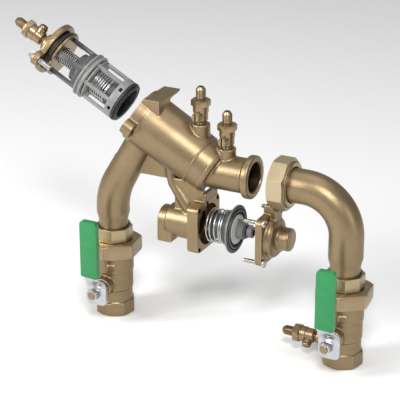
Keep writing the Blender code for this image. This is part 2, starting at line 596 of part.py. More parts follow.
def make_relief(parent, cover_parent):
    """Relief valve module and its bolted cover."""
    finish(coil(RELIEF, 18.6, 0.95, 125.8, 151.1, 4.0, 12), "relief_spring", BRIGHT, parent)
    cup = turned(RELIEF, [(0, 154.6), (23.2, 154.6), (23.2, 151.8), (20.8, 151.4), (14.4, 151.4), (14.4, 131.4),
                          (12.6, 129.6), (10.4, 129.6), (10.4, 150.0), (0, 150.0)], WIDE)
    finish(cup, "relief_cup", NYLON, parent)
    sheet = turned(RELIEF, [(10.4, 154.9), (27.4, 154.9), (27.4, 157.1), (24.0, 157.1), (21.4, 158.8),
                            (18.8, 157.1), (10.4, 157.1)], WIDE)
    finish(sheet, "relief_diaphragm", SEAL, parent)
    hub = turned(RELIEF, [(0, 154.9), (10.0, 154.9), (10.0, 157.4), (16.6, 157.4), (16.6, 158.6), (9.7, 159.0),
                          (9.7, 168.0), (6.4, 168.4), (6.4, 169.2), (5.4, 169.3), (5.4, 171.6), (6.6, 171.7),
                          (6.6, 177.0), (5.8, 178.0), (0, 178.0)], MID)
    fin = block(RELIEF, (-12.6, -0.9, 158.2), (-7.0, 0.9, 168.9))
    fin_tip = block(RELIEF, (-8.4, -0.9, 172.4), (-4.0, 0.9, 176.8))
    combine(hub, joined=[fin, fin_tip])
    finish(hub, "relief_hub", PALE, parent)
    seal = [(6.8 + 1.05 * math.cos(a), 170.45 + 0.9 * math.sin(a)) for a in [math.tau * i / 6 for i in range(6)]]
    finish(turned(RELIEF, seal, MID), "relief_stem_o_ring", SEAL, parent)

    cover = plate(RELIEF, rounded(RELIEF_HALF - 0.5, RELIEF_HALF - 0.5, 6.0, 3), 192.0, 199.7)
    dome = turned(RELIEF, [(0, 223.6), (11.8, 223.6), (12.8, 222.4), (12.8, 210.4), (14.4, 209.4),
                           (20.4, 208.0), (23.0, 205.2), (23.6, 199.0), (0, 199.0)], WIDE)
    side_view = [(192.3, 150.0), (192.3, 169.4), (193.8, 171.2), (201.4, 171.2), (202.9, 169.8), (202.9, 167.6),
                 (207.6, 165.6), (207.6, 150.0)]
    tab = plate(RELIEF @ FRONTWARD, [(RELIEF_Z - z, x) for x, z in side_view], -5.6, 5.6)
    cavity = turned(RELIEF, [(0, 190.0), (17.4, 190.0), (17.4, 199.0), (14.6, 201.0), (14.6, 205.4),
                             (9.2, 207.2), (9.2, 213.4), (0, 213.4)], MID)
    cuts = [cavity]
    corners = [(sx, sy) for sx in (-1, 1) for sy in (-1, 1)]
    for sx, sy in corners:
        cuts.append(rod(RELIEF @ place(sx * RELIEF_BOLT_Z, sy * RELIEF_BOLT_Y, 0), 2.8, 185.0, 203.0, 8))
        cuts.append(rod(RELIEF @ place(sx * RELIEF_BOLT_Z, sy * RELIEF_BOLT_Y, 0), 5.2, 199.7, 209.0, FINE))
    combine(cover, joined=[dome, tab], cut=cuts)
    finish(cover, "relief_cover", CAST, cover_parent)
    for sx, sy in corners:
        at = RELIEF @ place(sx * RELIEF_BOLT_Z, sy * RELIEF_BOLT_Y, 0)
        bolt = rod(at, 2.4, 177.0, 200.4, 8)
        combine(bolt, joined=[rod(at, 4.6, 200.0, 203.0, 12, 4.0)])
        label = "relief_bolt_" + ("upper_" if sx < 0 else "lower_") + ("front" if sy < 0 else "back")
        finish(bolt, label, BRIGHT, cover_parent)


def main():
    root = frame_empty("body_frame", BODY)
    inlet = frame_empty("inlet_leg_frame", INLET, root)
    module = frame_empty("module_frame", MODULE, root)
    relief = frame_empty("relief_frame", RELIEF, root)
    relief_cover = frame_empty("relief_cover_frame", RELIEF, relief)
    make_casting(root)
    for side, frame, parent in (("outlet", OUTLET, root), ("inlet", INLET, inlet)):
        make_union(side, frame, parent)
        make_valve(side, frame, parent)
    make_inlet_elbow(inlet)
    make_swivel(inlet)
    make_module(module)
    make_relief(relief, relief_cover)
    cocks = (("test_cock_1", INLET @ place(COCK_ON_VALVE[0] - LEG_SPACING, 0, COCK_ON_VALVE[1])
              @ turn_y(-90) @ turn_z(-35), inlet),
             ("test_cock_2", BODY @ place(COCK_ON_PIPE[0], 0, COCK_ON_PIPE[1]), root),
             ("test_cock_3", BODY @ place(COCK_ON_BODY[0], 0, COCK_ON_BODY[1]), root),
             ("test_cock_4", MODULE @ place(0, 0, COCK_ON_COVER) @ turn_y(180) @ turn_z(102), module))
    for name, frame, parent in cocks:
        make_cock(name, frame, parent, parent)


main()
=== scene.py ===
"""Looks of the backflow preventer: every CAD node gets a detailed piece in the same place.

World frame as in the CAD: +X towards the inlet leg, +Y away from the handles, +Z up, the floor at Z = 0.
Driving dimensions are in millimetres in the drawing frame, whose Z axis is the outlet leg.
"""
import json
import math

import bmesh
import bpy
from mathutils import Matrix, Vector


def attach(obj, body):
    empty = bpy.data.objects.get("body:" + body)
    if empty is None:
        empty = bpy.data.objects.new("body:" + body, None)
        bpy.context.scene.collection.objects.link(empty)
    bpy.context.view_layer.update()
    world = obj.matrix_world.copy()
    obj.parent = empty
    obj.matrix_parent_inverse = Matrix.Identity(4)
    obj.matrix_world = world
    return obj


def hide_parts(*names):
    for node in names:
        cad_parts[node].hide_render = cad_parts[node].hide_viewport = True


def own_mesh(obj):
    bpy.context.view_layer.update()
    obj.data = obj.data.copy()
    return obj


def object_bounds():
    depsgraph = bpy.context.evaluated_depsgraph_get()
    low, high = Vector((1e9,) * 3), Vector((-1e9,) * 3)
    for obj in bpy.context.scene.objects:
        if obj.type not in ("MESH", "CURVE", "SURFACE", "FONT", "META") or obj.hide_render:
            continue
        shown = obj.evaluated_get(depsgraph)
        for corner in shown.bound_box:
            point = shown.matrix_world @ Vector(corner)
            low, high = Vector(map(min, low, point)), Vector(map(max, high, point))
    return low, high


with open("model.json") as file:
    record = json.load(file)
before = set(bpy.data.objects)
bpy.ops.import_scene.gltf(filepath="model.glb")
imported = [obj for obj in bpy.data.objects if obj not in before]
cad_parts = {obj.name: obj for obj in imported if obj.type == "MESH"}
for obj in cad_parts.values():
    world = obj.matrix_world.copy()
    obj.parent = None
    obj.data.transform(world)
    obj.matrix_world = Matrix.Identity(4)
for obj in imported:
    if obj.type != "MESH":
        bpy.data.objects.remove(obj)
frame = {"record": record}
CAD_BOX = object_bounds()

MM = 0.001
ORIGIN_X = 97.7
ORIGIN_Y = -9.8

LEG_SPACING = 287.0
PIPE_Z = 198.8
PIPE_R = 19.5
PIPE_BORE = 17.0
PIPE_FACE = 178.3
COLLAR_R = 24.1
LEG_R = 19.0
LEG_END_R = 16.7
LEG_BORE = 13.3
LEG_BOTTOM = 97.0
TIP_X = -118.5
TIP_Z = 336.0
SLANT = math.radians(29.0)
FLANGE_S = 178.5
LUG_X = 1.8
LUG_Y = 35.2
LUG_R = 8.4
BOLT_HOLE = 3.6
RELIEF_Z = 133.5
RELIEF_FACE = 122.4
RELIEF_BOLT_Y = 22.8
RELIEF_BOLT_Z = 23.6
RELIEF_HALF = 28.0
STEM_Z = 40.0
LEVER_SHIFT = 3.4
GRIP_SHIFT = 2.6
BALL_R = 15.5
PORT_R = 10.0
COCK_ON_PIPE = (144.6, 228.1)
COCK_ON_BODY = (112.6, 251.3)
COCK_ON_VALVE = (258.0, 23.2)
COCK_ON_COVER = 40.0
COCK_STEM_Z = 9.7

WIDE = 112
MID = 72
FINE = 40

# camera
LENS = 144.0
DISTANCE = 1.78
AZIMUTH = 26.79
ELEVATION = 22.82
TARGET = (0.01385, 0.0098, 0.1599)

HOME = {node: body for body, facts in frame["record"]["behaviour"]["bodies"].items()
        for node in (facts["nodes"] if isinstance(facts, dict) else facts)}


def turn_y(degrees):
    return Matrix.Rotation(math.radians(degrees), 4, "Y")


def turn_z(degrees):
    return Matrix.Rotation(math.radians(degrees), 4, "Z")


def place(x, y, z):
    return Matrix.Translation(Vector((x * MM, y * MM, z * MM)))


SHIFT = place(-ORIGIN_X, -ORIGIN_Y, 0)
BODY = SHIFT
OUTLET = SHIFT
INLET = SHIFT @ place(LEG_SPACING, 0, 0)
PIPE = SHIFT @ place(0, 0, PIPE_Z) @ turn_y(90)
MODULE = SHIFT @ place(TIP_X, 0, TIP_Z) @ Matrix.Rotation(SLANT + math.pi / 2, 4, "Y")
RELIEF = SHIFT @ place(0, 0, RELIEF_Z) @ turn_y(90)
FRONTWARD = Matrix.Rotation(math.pi / 2, 4, "X")
SIDEWAYS = Matrix(((0, 0, 1, 0), (1, 0, 0, 0), (0, 1, 0, 0), (0, 0, 0, 1)))


# ---------------------------------------------------------------- camera, floor and light

def set_stage():
    """Camera at the viewing angle, a pale floor and soft studio light."""
    scene = bpy.context.scene
    lens = bpy.data.cameras.new("camera")
    lens.lens = LENS
    lens.sensor_width = 36.0
    lens.clip_end = 50.0
    camera = bpy.data.objects.new("camera", lens)
    scene.collection.objects.link(camera)
    a, e = math.radians(AZIMUTH), math.radians(ELEVATION)
    back = Vector((math.sin(a) * math.cos(e), -math.cos(a) * math.cos(e), math.sin(e)))
    camera.location = Vector(TARGET) + back * DISTANCE
    camera.rotation_euler = (-back).to_track_quat("-Z", "Y").to_euler()
    scene.camera = camera

    mesh = bpy.data.meshes.new("floor")
    half = FLOOR_HALF
    corners = [(-half, -half, 0), (half, -half, 0), (half, half, 0), (-half, half, 0)]
    mesh.from_pydata(corners, [], [(0, 1, 2, 3)])
    floor = bpy.data.objects.new("floor", mesh)
    floor.location = (0.0, 0.0, CAD_BOX[0][2] - FLOOR_GAP)
    scene.collection.objects.link(floor)
    pale = bpy.data.materials.new("floor")
    pale.use_nodes = True
    shader = pale.node_tree.nodes["Principled BSDF"]
    shader.inputs["Base Color"].default_value = (FLOOR_SHADE, FLOOR_SHADE, FLOOR_SHADE, 1.0)
    shader.inputs["Roughness"].default_value = 0.9
    mesh.materials.append(pale)

    world = bpy.data.worlds.new("studio")
    world.use_nodes = True
    sky = world.node_tree.nodes["Background"]
    sky.inputs["Color"].default_value = (1.0, 1.0, 1.0, 1.0)
    sky.inputs["Strength"].default_value = WORLD_LIGHT
    scene.world = world
    scene.view_settings.view_transform = "Standard"
    for name, at, size, power in LIGHTS:
        lamp = bpy.data.lights.new(name, "AREA")
        lamp.shape = "RECTANGLE"
        lamp.size, lamp.size_y = size
        lamp.energy = power
        obj = bpy.data.objects.new(name, lamp)
        obj.location = at
        obj.rotation_euler = (Vector(TARGET) - Vector(at)).to_track_quat("-Z", "Y").to_euler()
        scene.collection.objects.link(obj)


FLOOR_HALF = 6.0
FLOOR_GAP = 0.0002
FLOOR_SHADE = 0.86
WORLD_LIGHT = 0.36
# name, place, width and height, watts
LIGHTS = (
    ("key", (-1.3, -1.5, 1.3), (0.7, 0.9), 42.0),
    ("front", (0.75, -1.45, 1.75), (0.45, 0.45), 30.0),
    ("side", (1.9, -0.4, 0.7), (0.4, 1.0), 5.0),
    ("top", (0.0, 0.2, 2.0), (1.6, 1.2), 9.0),
)
set_stage()


# ---------------------------------------------------------------- materials

def node(tree, kind, **values):
    made = tree.nodes.new(kind)
    for name, value in values.items():
        if name in made.bl_rna.properties:
            setattr(made, name, value)
        else:
            made.inputs[name.replace("_", " ")].default_value = value
    return made


def ramp(tree, source, stops):
    """A colour ramp fed by a number."""
    made = tree.nodes.new("ShaderNodeValToRGB")
    elements = made.color_ramp.elements
    while len(elements) < len(stops):
        elements.new(0.5)
    for element, (position, colour) in zip(elements, stops):
        element.position = position
        element.color = (*colour, 1.0)
    tree.links.new(source, made.inputs["Fac"])
    return made.outputs["Color"]


def blend_colour(tree, factor, first, second, kind="MIX"):
    made = tree.nodes.new("ShaderNodeMix")
    made.data_type = "RGBA"
    made.blend_type = kind
    for value, socket in ((factor, made.inputs[0]), (first, made.inputs[6]), (second, made.inputs[7])):
        if isinstance(value, bpy.types.NodeSocket):
            tree.links.new(value, socket)
        elif isinstance(value, tuple):
            socket.default_value = (*value, 1.0)
        else:
            socket.default_value = value
    return made.outputs[2]


def surface(name, low, high, pit, metallic, rough, grain, depth, patch=22.0, edge_wear_and_highlight=None, lathe=0.0,
            painted_shade_reach=0.0, coat=0.0, pits=(0.36, 0.52), level=0.5):
    """A procedural finish: cloudy colour between low and high, darker pits of one grain, and its bump.

    grain, depth, patch, lathe and grime are in millimetres; wear is the lighter colour on sharp outer edges,
    both worn metal and a painted edge highlight; grime is how far the ambient occlusion reaches that darkens
    hollows with painted shade.
    """
    made = bpy.data.materials.new(name)
    made.use_nodes = True
    tree = made.node_tree
    shader = tree.nodes["Principled BSDF"]
    where = tree.nodes.new("ShaderNodeTexCoord").outputs["Object"]
    clouds = node(tree, "ShaderNodeTexNoise", Scale=1.0 / (patch * MM), Detail=3.0, Roughness=0.6)
    grains = node(tree, "ShaderNodeTexNoise", Scale=1.0 / (grain * MM), Detail=4.0, Roughness=0.62)
    for one in (clouds, grains):
        tree.links.new(where, one.inputs["Vector"])
    colour = ramp(tree, clouds.outputs["Fac"], [(0.34, low), (0.66, high)])
    dark = ramp(tree, grains.outputs["Fac"], [(pits[0], (1.0, 1.0, 1.0)), (pits[1], (0.0, 0.0, 0.0))])
    colour = blend_colour(tree, dark, colour, pit)
    # lighter colour on sharp outer edges: partly worn metal, partly a painted edge highlight
    if edge_wear_and_highlight:
        edges = ramp(tree, tree.nodes.new("ShaderNodeNewGeometry").outputs["Pointiness"],
                     [(0.515, (0.0, 0.0, 0.0)), (0.60, (0.75, 0.75, 0.75))])
        colour = blend_colour(tree, edges, colour, edge_wear_and_highlight)
    # painted shade: ambient occlusion darkens the colour in hollows and crevices, where shade falls
    if painted_shade_reach:
        hollow = node(tree, "ShaderNodeAmbientOcclusion", samples=6, only_local=True, Distance=painted_shade_reach * MM)
        shade = ramp(tree, hollow.outputs["AO"], [(0.25, (0.42, 0.36, 0.30)), (0.85, (1.0, 1.0, 1.0))])
        colour = blend_colour(tree, 1.0, colour, shade, "MULTIPLY")
    tree.links.new(colour, shader.inputs["Base Color"])
    shader.inputs["Metallic"].default_value = metallic
    shader.inputs["Specular IOR Level"].default_value = level
    if coat:
        shader.inputs["Coat Weight"].default_value = coat
        shader.inputs["Coat Roughness"].default_value = 0.15
    spread = node(tree, "ShaderNodeMapRange", From_Min=0.3, From_Max=0.7, To_Min=rough[0], To_Max=rough[1])
    tree.links.new(grains.outputs["Fac"], spread.inputs["Value"])
    tree.links.new(spread.outputs["Result"], shader.inputs["Roughness"])
    bump = node(tree, "ShaderNodeBump", Strength=1.0, Distance=depth * MM)
    tree.links.new(grains.outputs["Fac"], bump.inputs["Height"])
    out = bump.outputs["Normal"]
    if lathe:
        lines = node(tree, "ShaderNodeTexWave", wave_type="BANDS", bands_direction="Z",
                     Scale=0.314 / (lathe * MM), Distortion=0.6, Detail=1.0)
        tree.links.new(where, lines.inputs["Vector"])
        cut = node(tree, "ShaderNodeBump", Strength=0.5, Distance=0.02 * MM)
        tree.links.new(lines.outputs["Fac"], cut.inputs["Height"])
        tree.links.new(out, cut.inputs["Normal"])
        out = cut.outputs["Normal"]
    tree.links.new(out, shader.inputs["Normal"])
    return made


def make_materials():
    made = {
        "cast": surface("cast_bronze", (0.265, 0.193, 0.108), (0.318, 0.234, 0.135), (0.235, 0.172, 0.096),
                        0.92, (0.32, 0.46), 0.75, 0.10, 30.0, edge_wear_and_highlight=(0.66, 0.54, 0.36), painted_shade_reach=7.0),
        "milled": surface("machined_bronze", (0.27, 0.20, 0.115), (0.32, 0.24, 0.14), (0.235, 0.172, 0.10),
                          1.0, (0.26, 0.38), 0.5, 0.02, 14.0, lathe=0.45, painted_shade_reach=9.0),
        "forged": surface("forged_brass", (0.28, 0.206, 0.118), (0.335, 0.25, 0.146), (0.25, 0.184, 0.104),
                          0.95, (0.28, 0.42), 0.7, 0.06, 24.0, edge_wear_and_highlight=(0.70, 0.58, 0.38), painted_shade_reach=5.0),
        # painted shade: a darker copy of the forged brass, so the swivel nut's flats read darker than the
        # same metal elsewhere
        "shaded_brass": surface("shaded_bronze", (0.205, 0.152, 0.087), (0.25, 0.186, 0.108), (0.18, 0.132, 0.074),
                        0.92, (0.38, 0.50), 0.7, 0.06, 24.0, edge_wear_and_highlight=(0.60, 0.49, 0.32), painted_shade_reach=5.0),
        "turned": surface("turned_brass", (0.32, 0.235, 0.14), (0.40, 0.30, 0.18), (0.22, 0.16, 0.09), 1.0,
                          (0.26, 0.40), 0.5, 0.03, 12.0, lathe=0.35, painted_shade_reach=3.0),
        # painted shade: dark brown for the cover's groove under its O-ring, where shade falls
        "thread": surface("groove_painted_shade", (0.10, 0.075, 0.05), (0.18, 0.13, 0.08), (0.05, 0.04, 0.03), 0.7,
                          (0.4, 0.6), 0.5, 0.05, 6.0),
        "nylon": surface("dark_nylon", (0.055, 0.055, 0.056), (0.085, 0.085, 0.086), (0.035, 0.035, 0.036),
                         0.0, (0.34, 0.5), 0.35, 0.02, 9.0, painted_shade_reach=3.0),
        "grey": surface("grey_nylon", (0.205, 0.205, 0.20), (0.26, 0.26, 0.255), (0.17, 0.17, 0.166), 0.0,
                        (0.34, 0.5), 0.35, 0.02, 9.0, painted_shade_reach=3.0),
        "hub": surface("hub_nylon", (0.15, 0.15, 0.15), (0.21, 0.21, 0.208), (0.11, 0.11, 0.11), 0.0,
                       (0.34, 0.5), 0.35, 0.02, 9.0, painted_shade_reach=3.0),
        "chalk": surface("pale_fabric", (0.50, 0.50, 0.48), (0.62, 0.62, 0.60), (0.40, 0.40, 0.38), 0.0,
                         (0.5, 0.7), 0.4, 0.05, 6.0),
        "rubber": surface("black_rubber", (0.012, 0.012, 0.012), (0.024, 0.024, 0.024), (0.008, 0.008, 0.008),
                          0.0, (0.38, 0.56), 0.3, 0.015, 7.0),
        "zinc": surface("zinc_plate", (0.50, 0.515, 0.54), (0.60, 0.61, 0.635), (0.40, 0.41, 0.44), 1.0,
                        (0.20, 0.34), 0.6, 0.02, 5.0, pits=(0.30, 0.44)),
        "nickel": surface("nickel_screw", (0.50, 0.49, 0.47), (0.60, 0.59, 0.57), (0.42, 0.41, 0.39), 1.0,
                          (0.22, 0.34), 0.5, 0.01, 4.0, painted_shade_reach=2.5),
        "wire": surface("stainless_wire", (0.54, 0.54, 0.54), (0.66, 0.66, 0.66), (0.40, 0.40, 0.40), 1.0,
                        (0.32, 0.44), 0.4, 0.01, 5.0),
        "chrome": surface("plated_ball", (0.70, 0.70, 0.72), (0.80, 0.80, 0.82), (0.60, 0.60, 0.62), 1.0,
                          (0.06, 0.14), 0.8, 0.004, 9.0),
        "ptfe": surface("seat_plastic", (0.72, 0.71, 0.68), (0.82, 0.81, 0.78), (0.62, 0.61, 0.58), 0.0,
                        (0.32, 0.46), 0.5, 0.01, 7.0),
        "vinyl": surface("green_vinyl", (0.008, 0.19, 0.052), (0.011, 0.22, 0.062), (0.007, 0.16, 0.043), 0.0,
                         (0.28, 0.42), 0.55, 0.03, 14.0, coat=0.12, pits=(0.30, 0.42)),
        # painted shade: near-black colour for the walls of bores, holes and slots, where shade falls
        "dark": surface("painted_shade_hollow", (0.02, 0.018, 0.014), (0.035, 0.03, 0.022), (0.01, 0.01, 0.01), 0.2,
                        (0.6, 0.8), 0.6, 0.03, 8.0),
    }
    return made


LOOK = make_materials()


# ---------------------------------------------------------------- modelling tools

def add(name, mesh, matrix):
    obj = bpy.data.objects.new(name, mesh)
    bpy.context.scene.collection.objects.link(obj)
    obj.matrix_world = matrix
    return obj


def bake(obj, weld=1e-6):
    """Replaces an object's data by its evaluated mesh, facing out."""
    bpy.context.view_layer.update()
    graph = bpy.context.evaluated_depsgraph_get()
    mesh = bpy.data.meshes.new_from_object(obj.evaluated_get(graph))
    if weld:
        bm = bmesh.new()
        bm.from_mesh(mesh)
        bmesh.ops.remove_doubles(bm, verts=bm.verts, dist=weld)
        bmesh.ops.recalc_face_normals(bm, faces=bm.faces)
        bm.to_mesh(mesh)
        bm.free()
    if obj.type == "MESH":
        obj.modifiers.clear()
        obj.data = mesh
        return obj
    solid = add(obj.name + "_solid", mesh, obj.matrix_world.copy())
    bpy.data.objects.remove(obj, do_unlink=True)
    return solid


def turned(matrix, profile, steps=MID, name="turned"):
    """A profile of (radius, height) turned about local Z: a loop unless both its ends are on the axis."""
    area = 0.0
    for (r0, z0), (r1, z1) in zip(profile, profile[1:] + profile[:1]):
        area += r0 * z1 - r1 * z0
    points = list(profile) if area < 0 else list(reversed(profile))
    mesh = bpy.data.meshes.new(name)
    edges = [(i, i + 1) for i in range(len(points) - 1)]
    if points[0][0] > 0 or points[-1][0] > 0:
        edges.append((len(points) - 1, 0))
    mesh.from_pydata([(r * MM, 0.0, z * MM) for r, z in points], edges, [])
    obj = add(name, mesh, matrix)
    screw = obj.modifiers.new("Screw", "SCREW")
    screw.steps = steps
    screw.render_steps = steps
    screw.use_merge_vertices = True
    screw.merge_threshold = 0.00001
    return bake(obj)


def soft(profile, radius=0.6, steps=3, closed=False):
    """Rounds the corners of a turned profile; corners on the axis stay."""
    out = []
    count = len(profile)
    for i, (x, y) in enumerate(profile):
        if not closed and i in (0, count - 1):
            out.append((x, y))
            continue
        before, here, after = (Vector(profile[(i + k) % count]) for k in (-1, 0, 1))
        first, second = before - here, after - here
        if first.length < 1e-6 or second.length < 1e-6 or first.angle(second) > math.radians(160):
            out.append((x, y))
            continue
        reach = min(radius, first.length * 0.42, second.length * 0.42)
        a, b = here + first.normalized() * reach, here + second.normalized() * reach
        for step in range(steps + 1):
            t = step / steps
            point = a * (1 - t) ** 2 + here * 2 * t * (1 - t) + b * t * t
            out.append((max(point.x, 0.0), point.y))
    return out


def ring(matrix, outer, inner, low, high, steps=MID, ease=0.25):
    profile = [(outer, high), (outer, low), (inner, low), (inner, high)]
    return turned(matrix, soft(profile, ease, 2, True), steps)


def round_ring(matrix, radius, height, thick, tall, steps=WIDE, sides=20):
    """An O-ring: a round section (thick wide, tall high) turned about local Z."""
    return turned(matrix, [(radius + thick * math.cos(a), height + tall * math.sin(a))
                           for a in [math.tau * i / sides for i in range(sides)]], steps)


def rod(matrix, radius, low, high, steps=MID, top=None, name="rod"):
    """A closed cylinder, cone or regular prism along local Z, from low to high."""
    mesh = bpy.data.meshes.new(name)
    bm = bmesh.new()
    end = radius if top is None else top
    bmesh.ops.create_cone(bm, cap_ends=True, segments=steps, radius1=radius * MM, radius2=end * MM,
                          depth=(high - low) * MM,
                          matrix=Matrix.Translation((0, 0, (low + high) / 2 * MM)))
    bm.to_mesh(mesh)
    bm.free()
    return add(name, mesh, matrix)


def polygon_rod(matrix, flats, sides, low, high, face_angle=0.0, chamfer=0.0, name="flats"):
    """A prism of so many sides, flats across, with one face's normal at face_angle degrees."""
    corner = flats / 2 / math.cos(math.pi / sides)
    spun = matrix @ turn_z(face_angle + 180.0 / sides - 90.0)
    body = rod(spun, corner, low, high, sides, name=name)
    if chamfer:
        cap = turned(matrix, [(0, high), (corner - chamfer, high), (corner + 0.4, high - chamfer * 0.6),
                              (corner + 0.4, low + chamfer * 0.6), (corner - chamfer, low), (0, low)], MID)
        combine(body, shared=[cap])
    return body


def block(matrix, low, high, name="block"):
    """A box between two corners in the local frame."""
    mesh = bpy.data.meshes.new(name)
    bm = bmesh.new()
    bmesh.ops.create_cube(bm, size=1.0)
    size = Vector([(b - a) * MM for a, b in zip(low, high)])
    mid = Vector([(a + b) / 2 * MM for a, b in zip(low, high)])
    bmesh.ops.transform(bm, matrix=Matrix.Translation(mid) @ Matrix.Diagonal((*size, 1.0)), verts=bm.verts)
    bm.to_mesh(mesh)
    bm.free()
    return add(name, mesh, matrix)


def plate(matrix, outline, low, high, name="plate"):
    """A flat outline of (x, y) points, extruded along local Z from low to high."""
    curve = bpy.data.curves.new(name, "CURVE")
    curve.dimensions = "2D"
    curve.fill_mode = "BOTH"
    curve.extrude = (high - low) / 2 * MM
    spline = curve.splines.new("POLY")
    spline.points.add(len(outline) - 1)
    for point, (x, y) in zip(spline.points, outline):
        point.co = (x * MM, y * MM, 0.0, 1.0)
    spline.use_cyclic_u = True
    obj = add(name, curve, matrix @ place(0, 0, (low + high) / 2))
    return bake(obj)


def wire(matrix, path, radius, resolution=6, taper=None, name="wire"):
    """A round bar along (x, y, z) points; taper gives each point's share of the radius."""
    curve = bpy.data.curves.new(name, "CURVE")
    curve.dimensions = "3D"
    curve.bevel_depth = radius * MM
    curve.bevel_resolution = resolution
    curve.use_fill_caps = True
    spline = curve.splines.new("POLY")
    spline.points.add(len(path) - 1)
    for index, (x, y, z) in enumerate(path):
        spline.points[index].co = (x * MM, y * MM, z * MM, 1.0)
        spline.points[index].radius = taper[index] if taper else 1.0
    return bake(add(name, curve, matrix))


def coil(matrix, radius, thickness, low, high, turns, per_turn=40, resolution=4):
    """A spring of round wire about local Z whose end turns close up."""
    count = int(turns * per_turn)
    lead = 0.8
    climb = []
    height = 0.0
    for step in range(count + 1):
        share = step / count * turns
        near = min(share, turns - share)
        height += 0.34 + 0.66 * min(1.0, max(0.0, (near - lead) / 0.6)) if step else 0.0
        climb.append(height)
    path = []
    for step, rise in enumerate(climb):
        angle = math.tau * turns * step / count
        path.append((radius * math.cos(angle), radius * math.sin(angle),
                     low + thickness + (high - low - 2 * thickness) * rise / climb[-1]))
    return wire(matrix, path, thickness, resolution, name="coil")


def combine(base, joined=(), cut=(), shared=()):
    """Boolean union, difference and intersection with other objects, which are used up."""
    for operation, others in (("UNION", joined), ("DIFFERENCE", cut), ("INTERSECT", shared)):
        others = list(others)
        if not others:
            continue
        step = base.modifiers.new(operation.title(), "BOOLEAN")
        step.operation = operation
        step.solver = "EXACT"
        step.material_mode = "TRANSFER"
        if len(others) == 1 or operation == "INTERSECT":
            step.object = others[0]
        else:
            tools = bpy.data.collections.new("tools")
            bpy.context.scene.collection.children.link(tools)
            for other in others:
                tools.objects.link(other)
            step.operand_type = "COLLECTION"
            step.collection = tools
        bake(base, 0.0)
        if operation != "INTERSECT" and len(others) > 1:
            bpy.data.collections.remove(tools)
        for other in others:
            bpy.data.objects.remove(other, do_unlink=True)
    return base


def gather(*objs):
    """Joins pieces into one object as they are, each with its own material."""
    with bpy.context.temp_override(active_object=objs[0], selected_editable_objects=list(objs)):
        bpy.ops.object.join()
    return objs[0]


def rounded(half_x, half_y, radius, steps=8, centre=(0.0, 0.0)):
    """The outline of a rectangle with rounded corners."""
    outline = []
    for quarter, (sx, sy) in enumerate(((1, 1), (-1, 1), (-1, -1), (1, -1))):
        for step in range(steps + 1):
            angle = math.radians(90 * quarter + 90 * step / steps)
            outline.append((centre[0] + sx * (half_x - radius) + radius * math.cos(angle),
                            centre[1] + sy * (half_y - radius) + radius * math.sin(angle)))
    return outline


def wedge(matrix, angle, half, inner, outer, low, high, steps=16):
    """A sector block for cutting a window through a turned shell; half is its half angle in degrees."""
    turns = [math.radians(half) * (2 * i / steps - 1) for i in range(steps + 1)]
    points = [(outer * math.cos(t), outer * math.sin(t)) for t in turns]
    points += [(inner * math.cos(t), inner * math.sin(t)) for t in (turns[-1], turns[0])]
    return plate(matrix @ turn_z(angle), points, low, high)


def paint(look, *objs):
    for obj in objs:
        obj.data.materials.clear()
        obj.data.materials.append(LOOK[look])
    return objs[0] if len(objs) == 1 else list(objs)


def recolour(obj, look, test):
    """Gives another material to the faces whose centre passes a test of its radius and height in mm."""
    obj.data.materials.append(LOOK[look])
    slot = len(obj.data.materials) - 1
    for face in obj.data.polygons:
        x, y, z = face.center / MM
        if test(math.hypot(x, y), z):
            face.material_index = slot


def ease_edges(obj, width=0.4, segments=2, angle=32):
    """Breaks the sharp edges of a finished piece."""
    step = obj.modifiers.new("Ease", "BEVEL")
    step.width = width * MM
    step.segments = segments
    step.limit_method = "ANGLE"
    step.angle_limit = math.radians(angle)
    step.use_clamp_overlap = True
    return bake(obj, 0.0)


def foundry(parts, cell=0.9, rounds=5, grain=0.10, name="casting"):
    """Melts overlapping solids into one casting with filleted joins and a sandy skin."""
    obj = gather(*parts)
    obj.name = name
    melt = obj.modifiers.new("Melt", "REMESH")
    melt.mode = "VOXEL"
    melt.voxel_size = cell * MM
    bake(obj, 0.0)
    smooth = obj.modifiers.new("Fillet", "SMOOTH")
    smooth.factor = 0.5
    smooth.iterations = rounds
    sand = bpy.data.textures.new("sand", "CLOUDS")
    sand.noise_scale = 2.2 * MM
    sand.noise_depth = 2
    skin = obj.modifiers.new("Sand", "DISPLACE")
    skin.texture = sand
    skin.texture_coords = "LOCAL"
    skin.strength = grain * MM
    skin.mid_level = 0.5
    return paint("cast", bake(obj, 0.0))


def thread(radius, low, high, pitch, depth):
    """Profile points of a thread, crest by crest from low to high; a negative depth is for a bore."""
    points = []
    count = max(1, int(round((high - low) / pitch)))
    step = (high - low) / count
    for i in range(count):
        z = low + step * i
        points += [(radius - depth, z + step * 0.08), (radius, z + step * 0.42),
                   (radius, z + step * 0.58), (radius - depth, z + step * 0.92)]
    return points


def dress(obj, node_name, look=None, ease=0.0, sharp=35):
    """Gives a finished piece its material, hangs it on its node's body and hides the node."""
    if look:
        paint(look, obj)
    if ease:
        ease_edges(obj, ease)
    obj.name = "look_" + node_name
    obj.data.name = obj.name
    obj.data.shade_smooth()
    obj.data.set_sharp_from_angle(angle=math.radians(sharp))
    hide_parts(node_name)
    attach(obj, HOME[node_name])
    return obj


# ---------------------------------------------------------------- main casting

def leg_path(top, finely=18):
    """Centre points of the outlet leg: upright, then over to meet the slanted bore squarely."""
    lean = math.radians(29.0)
    corner_z = 150.6
    bend = 75.0
    reach = bend * math.tan(lean / 2)
    points = [(0, 0, LEG_BOTTOM), (0, 0, 117.0), (0, 0, 126.0)]
    for step in range(finely + 1):
        angle = lean * step / finely
        points.append((bend * (1 - math.cos(angle)), 0, corner_z - reach + bend * math.sin(angle)))
    for along in (38.0, 58.0, top):
        points.append((along * math.sin(lean), 0, corner_z + along * math.cos(lean)))
    return points


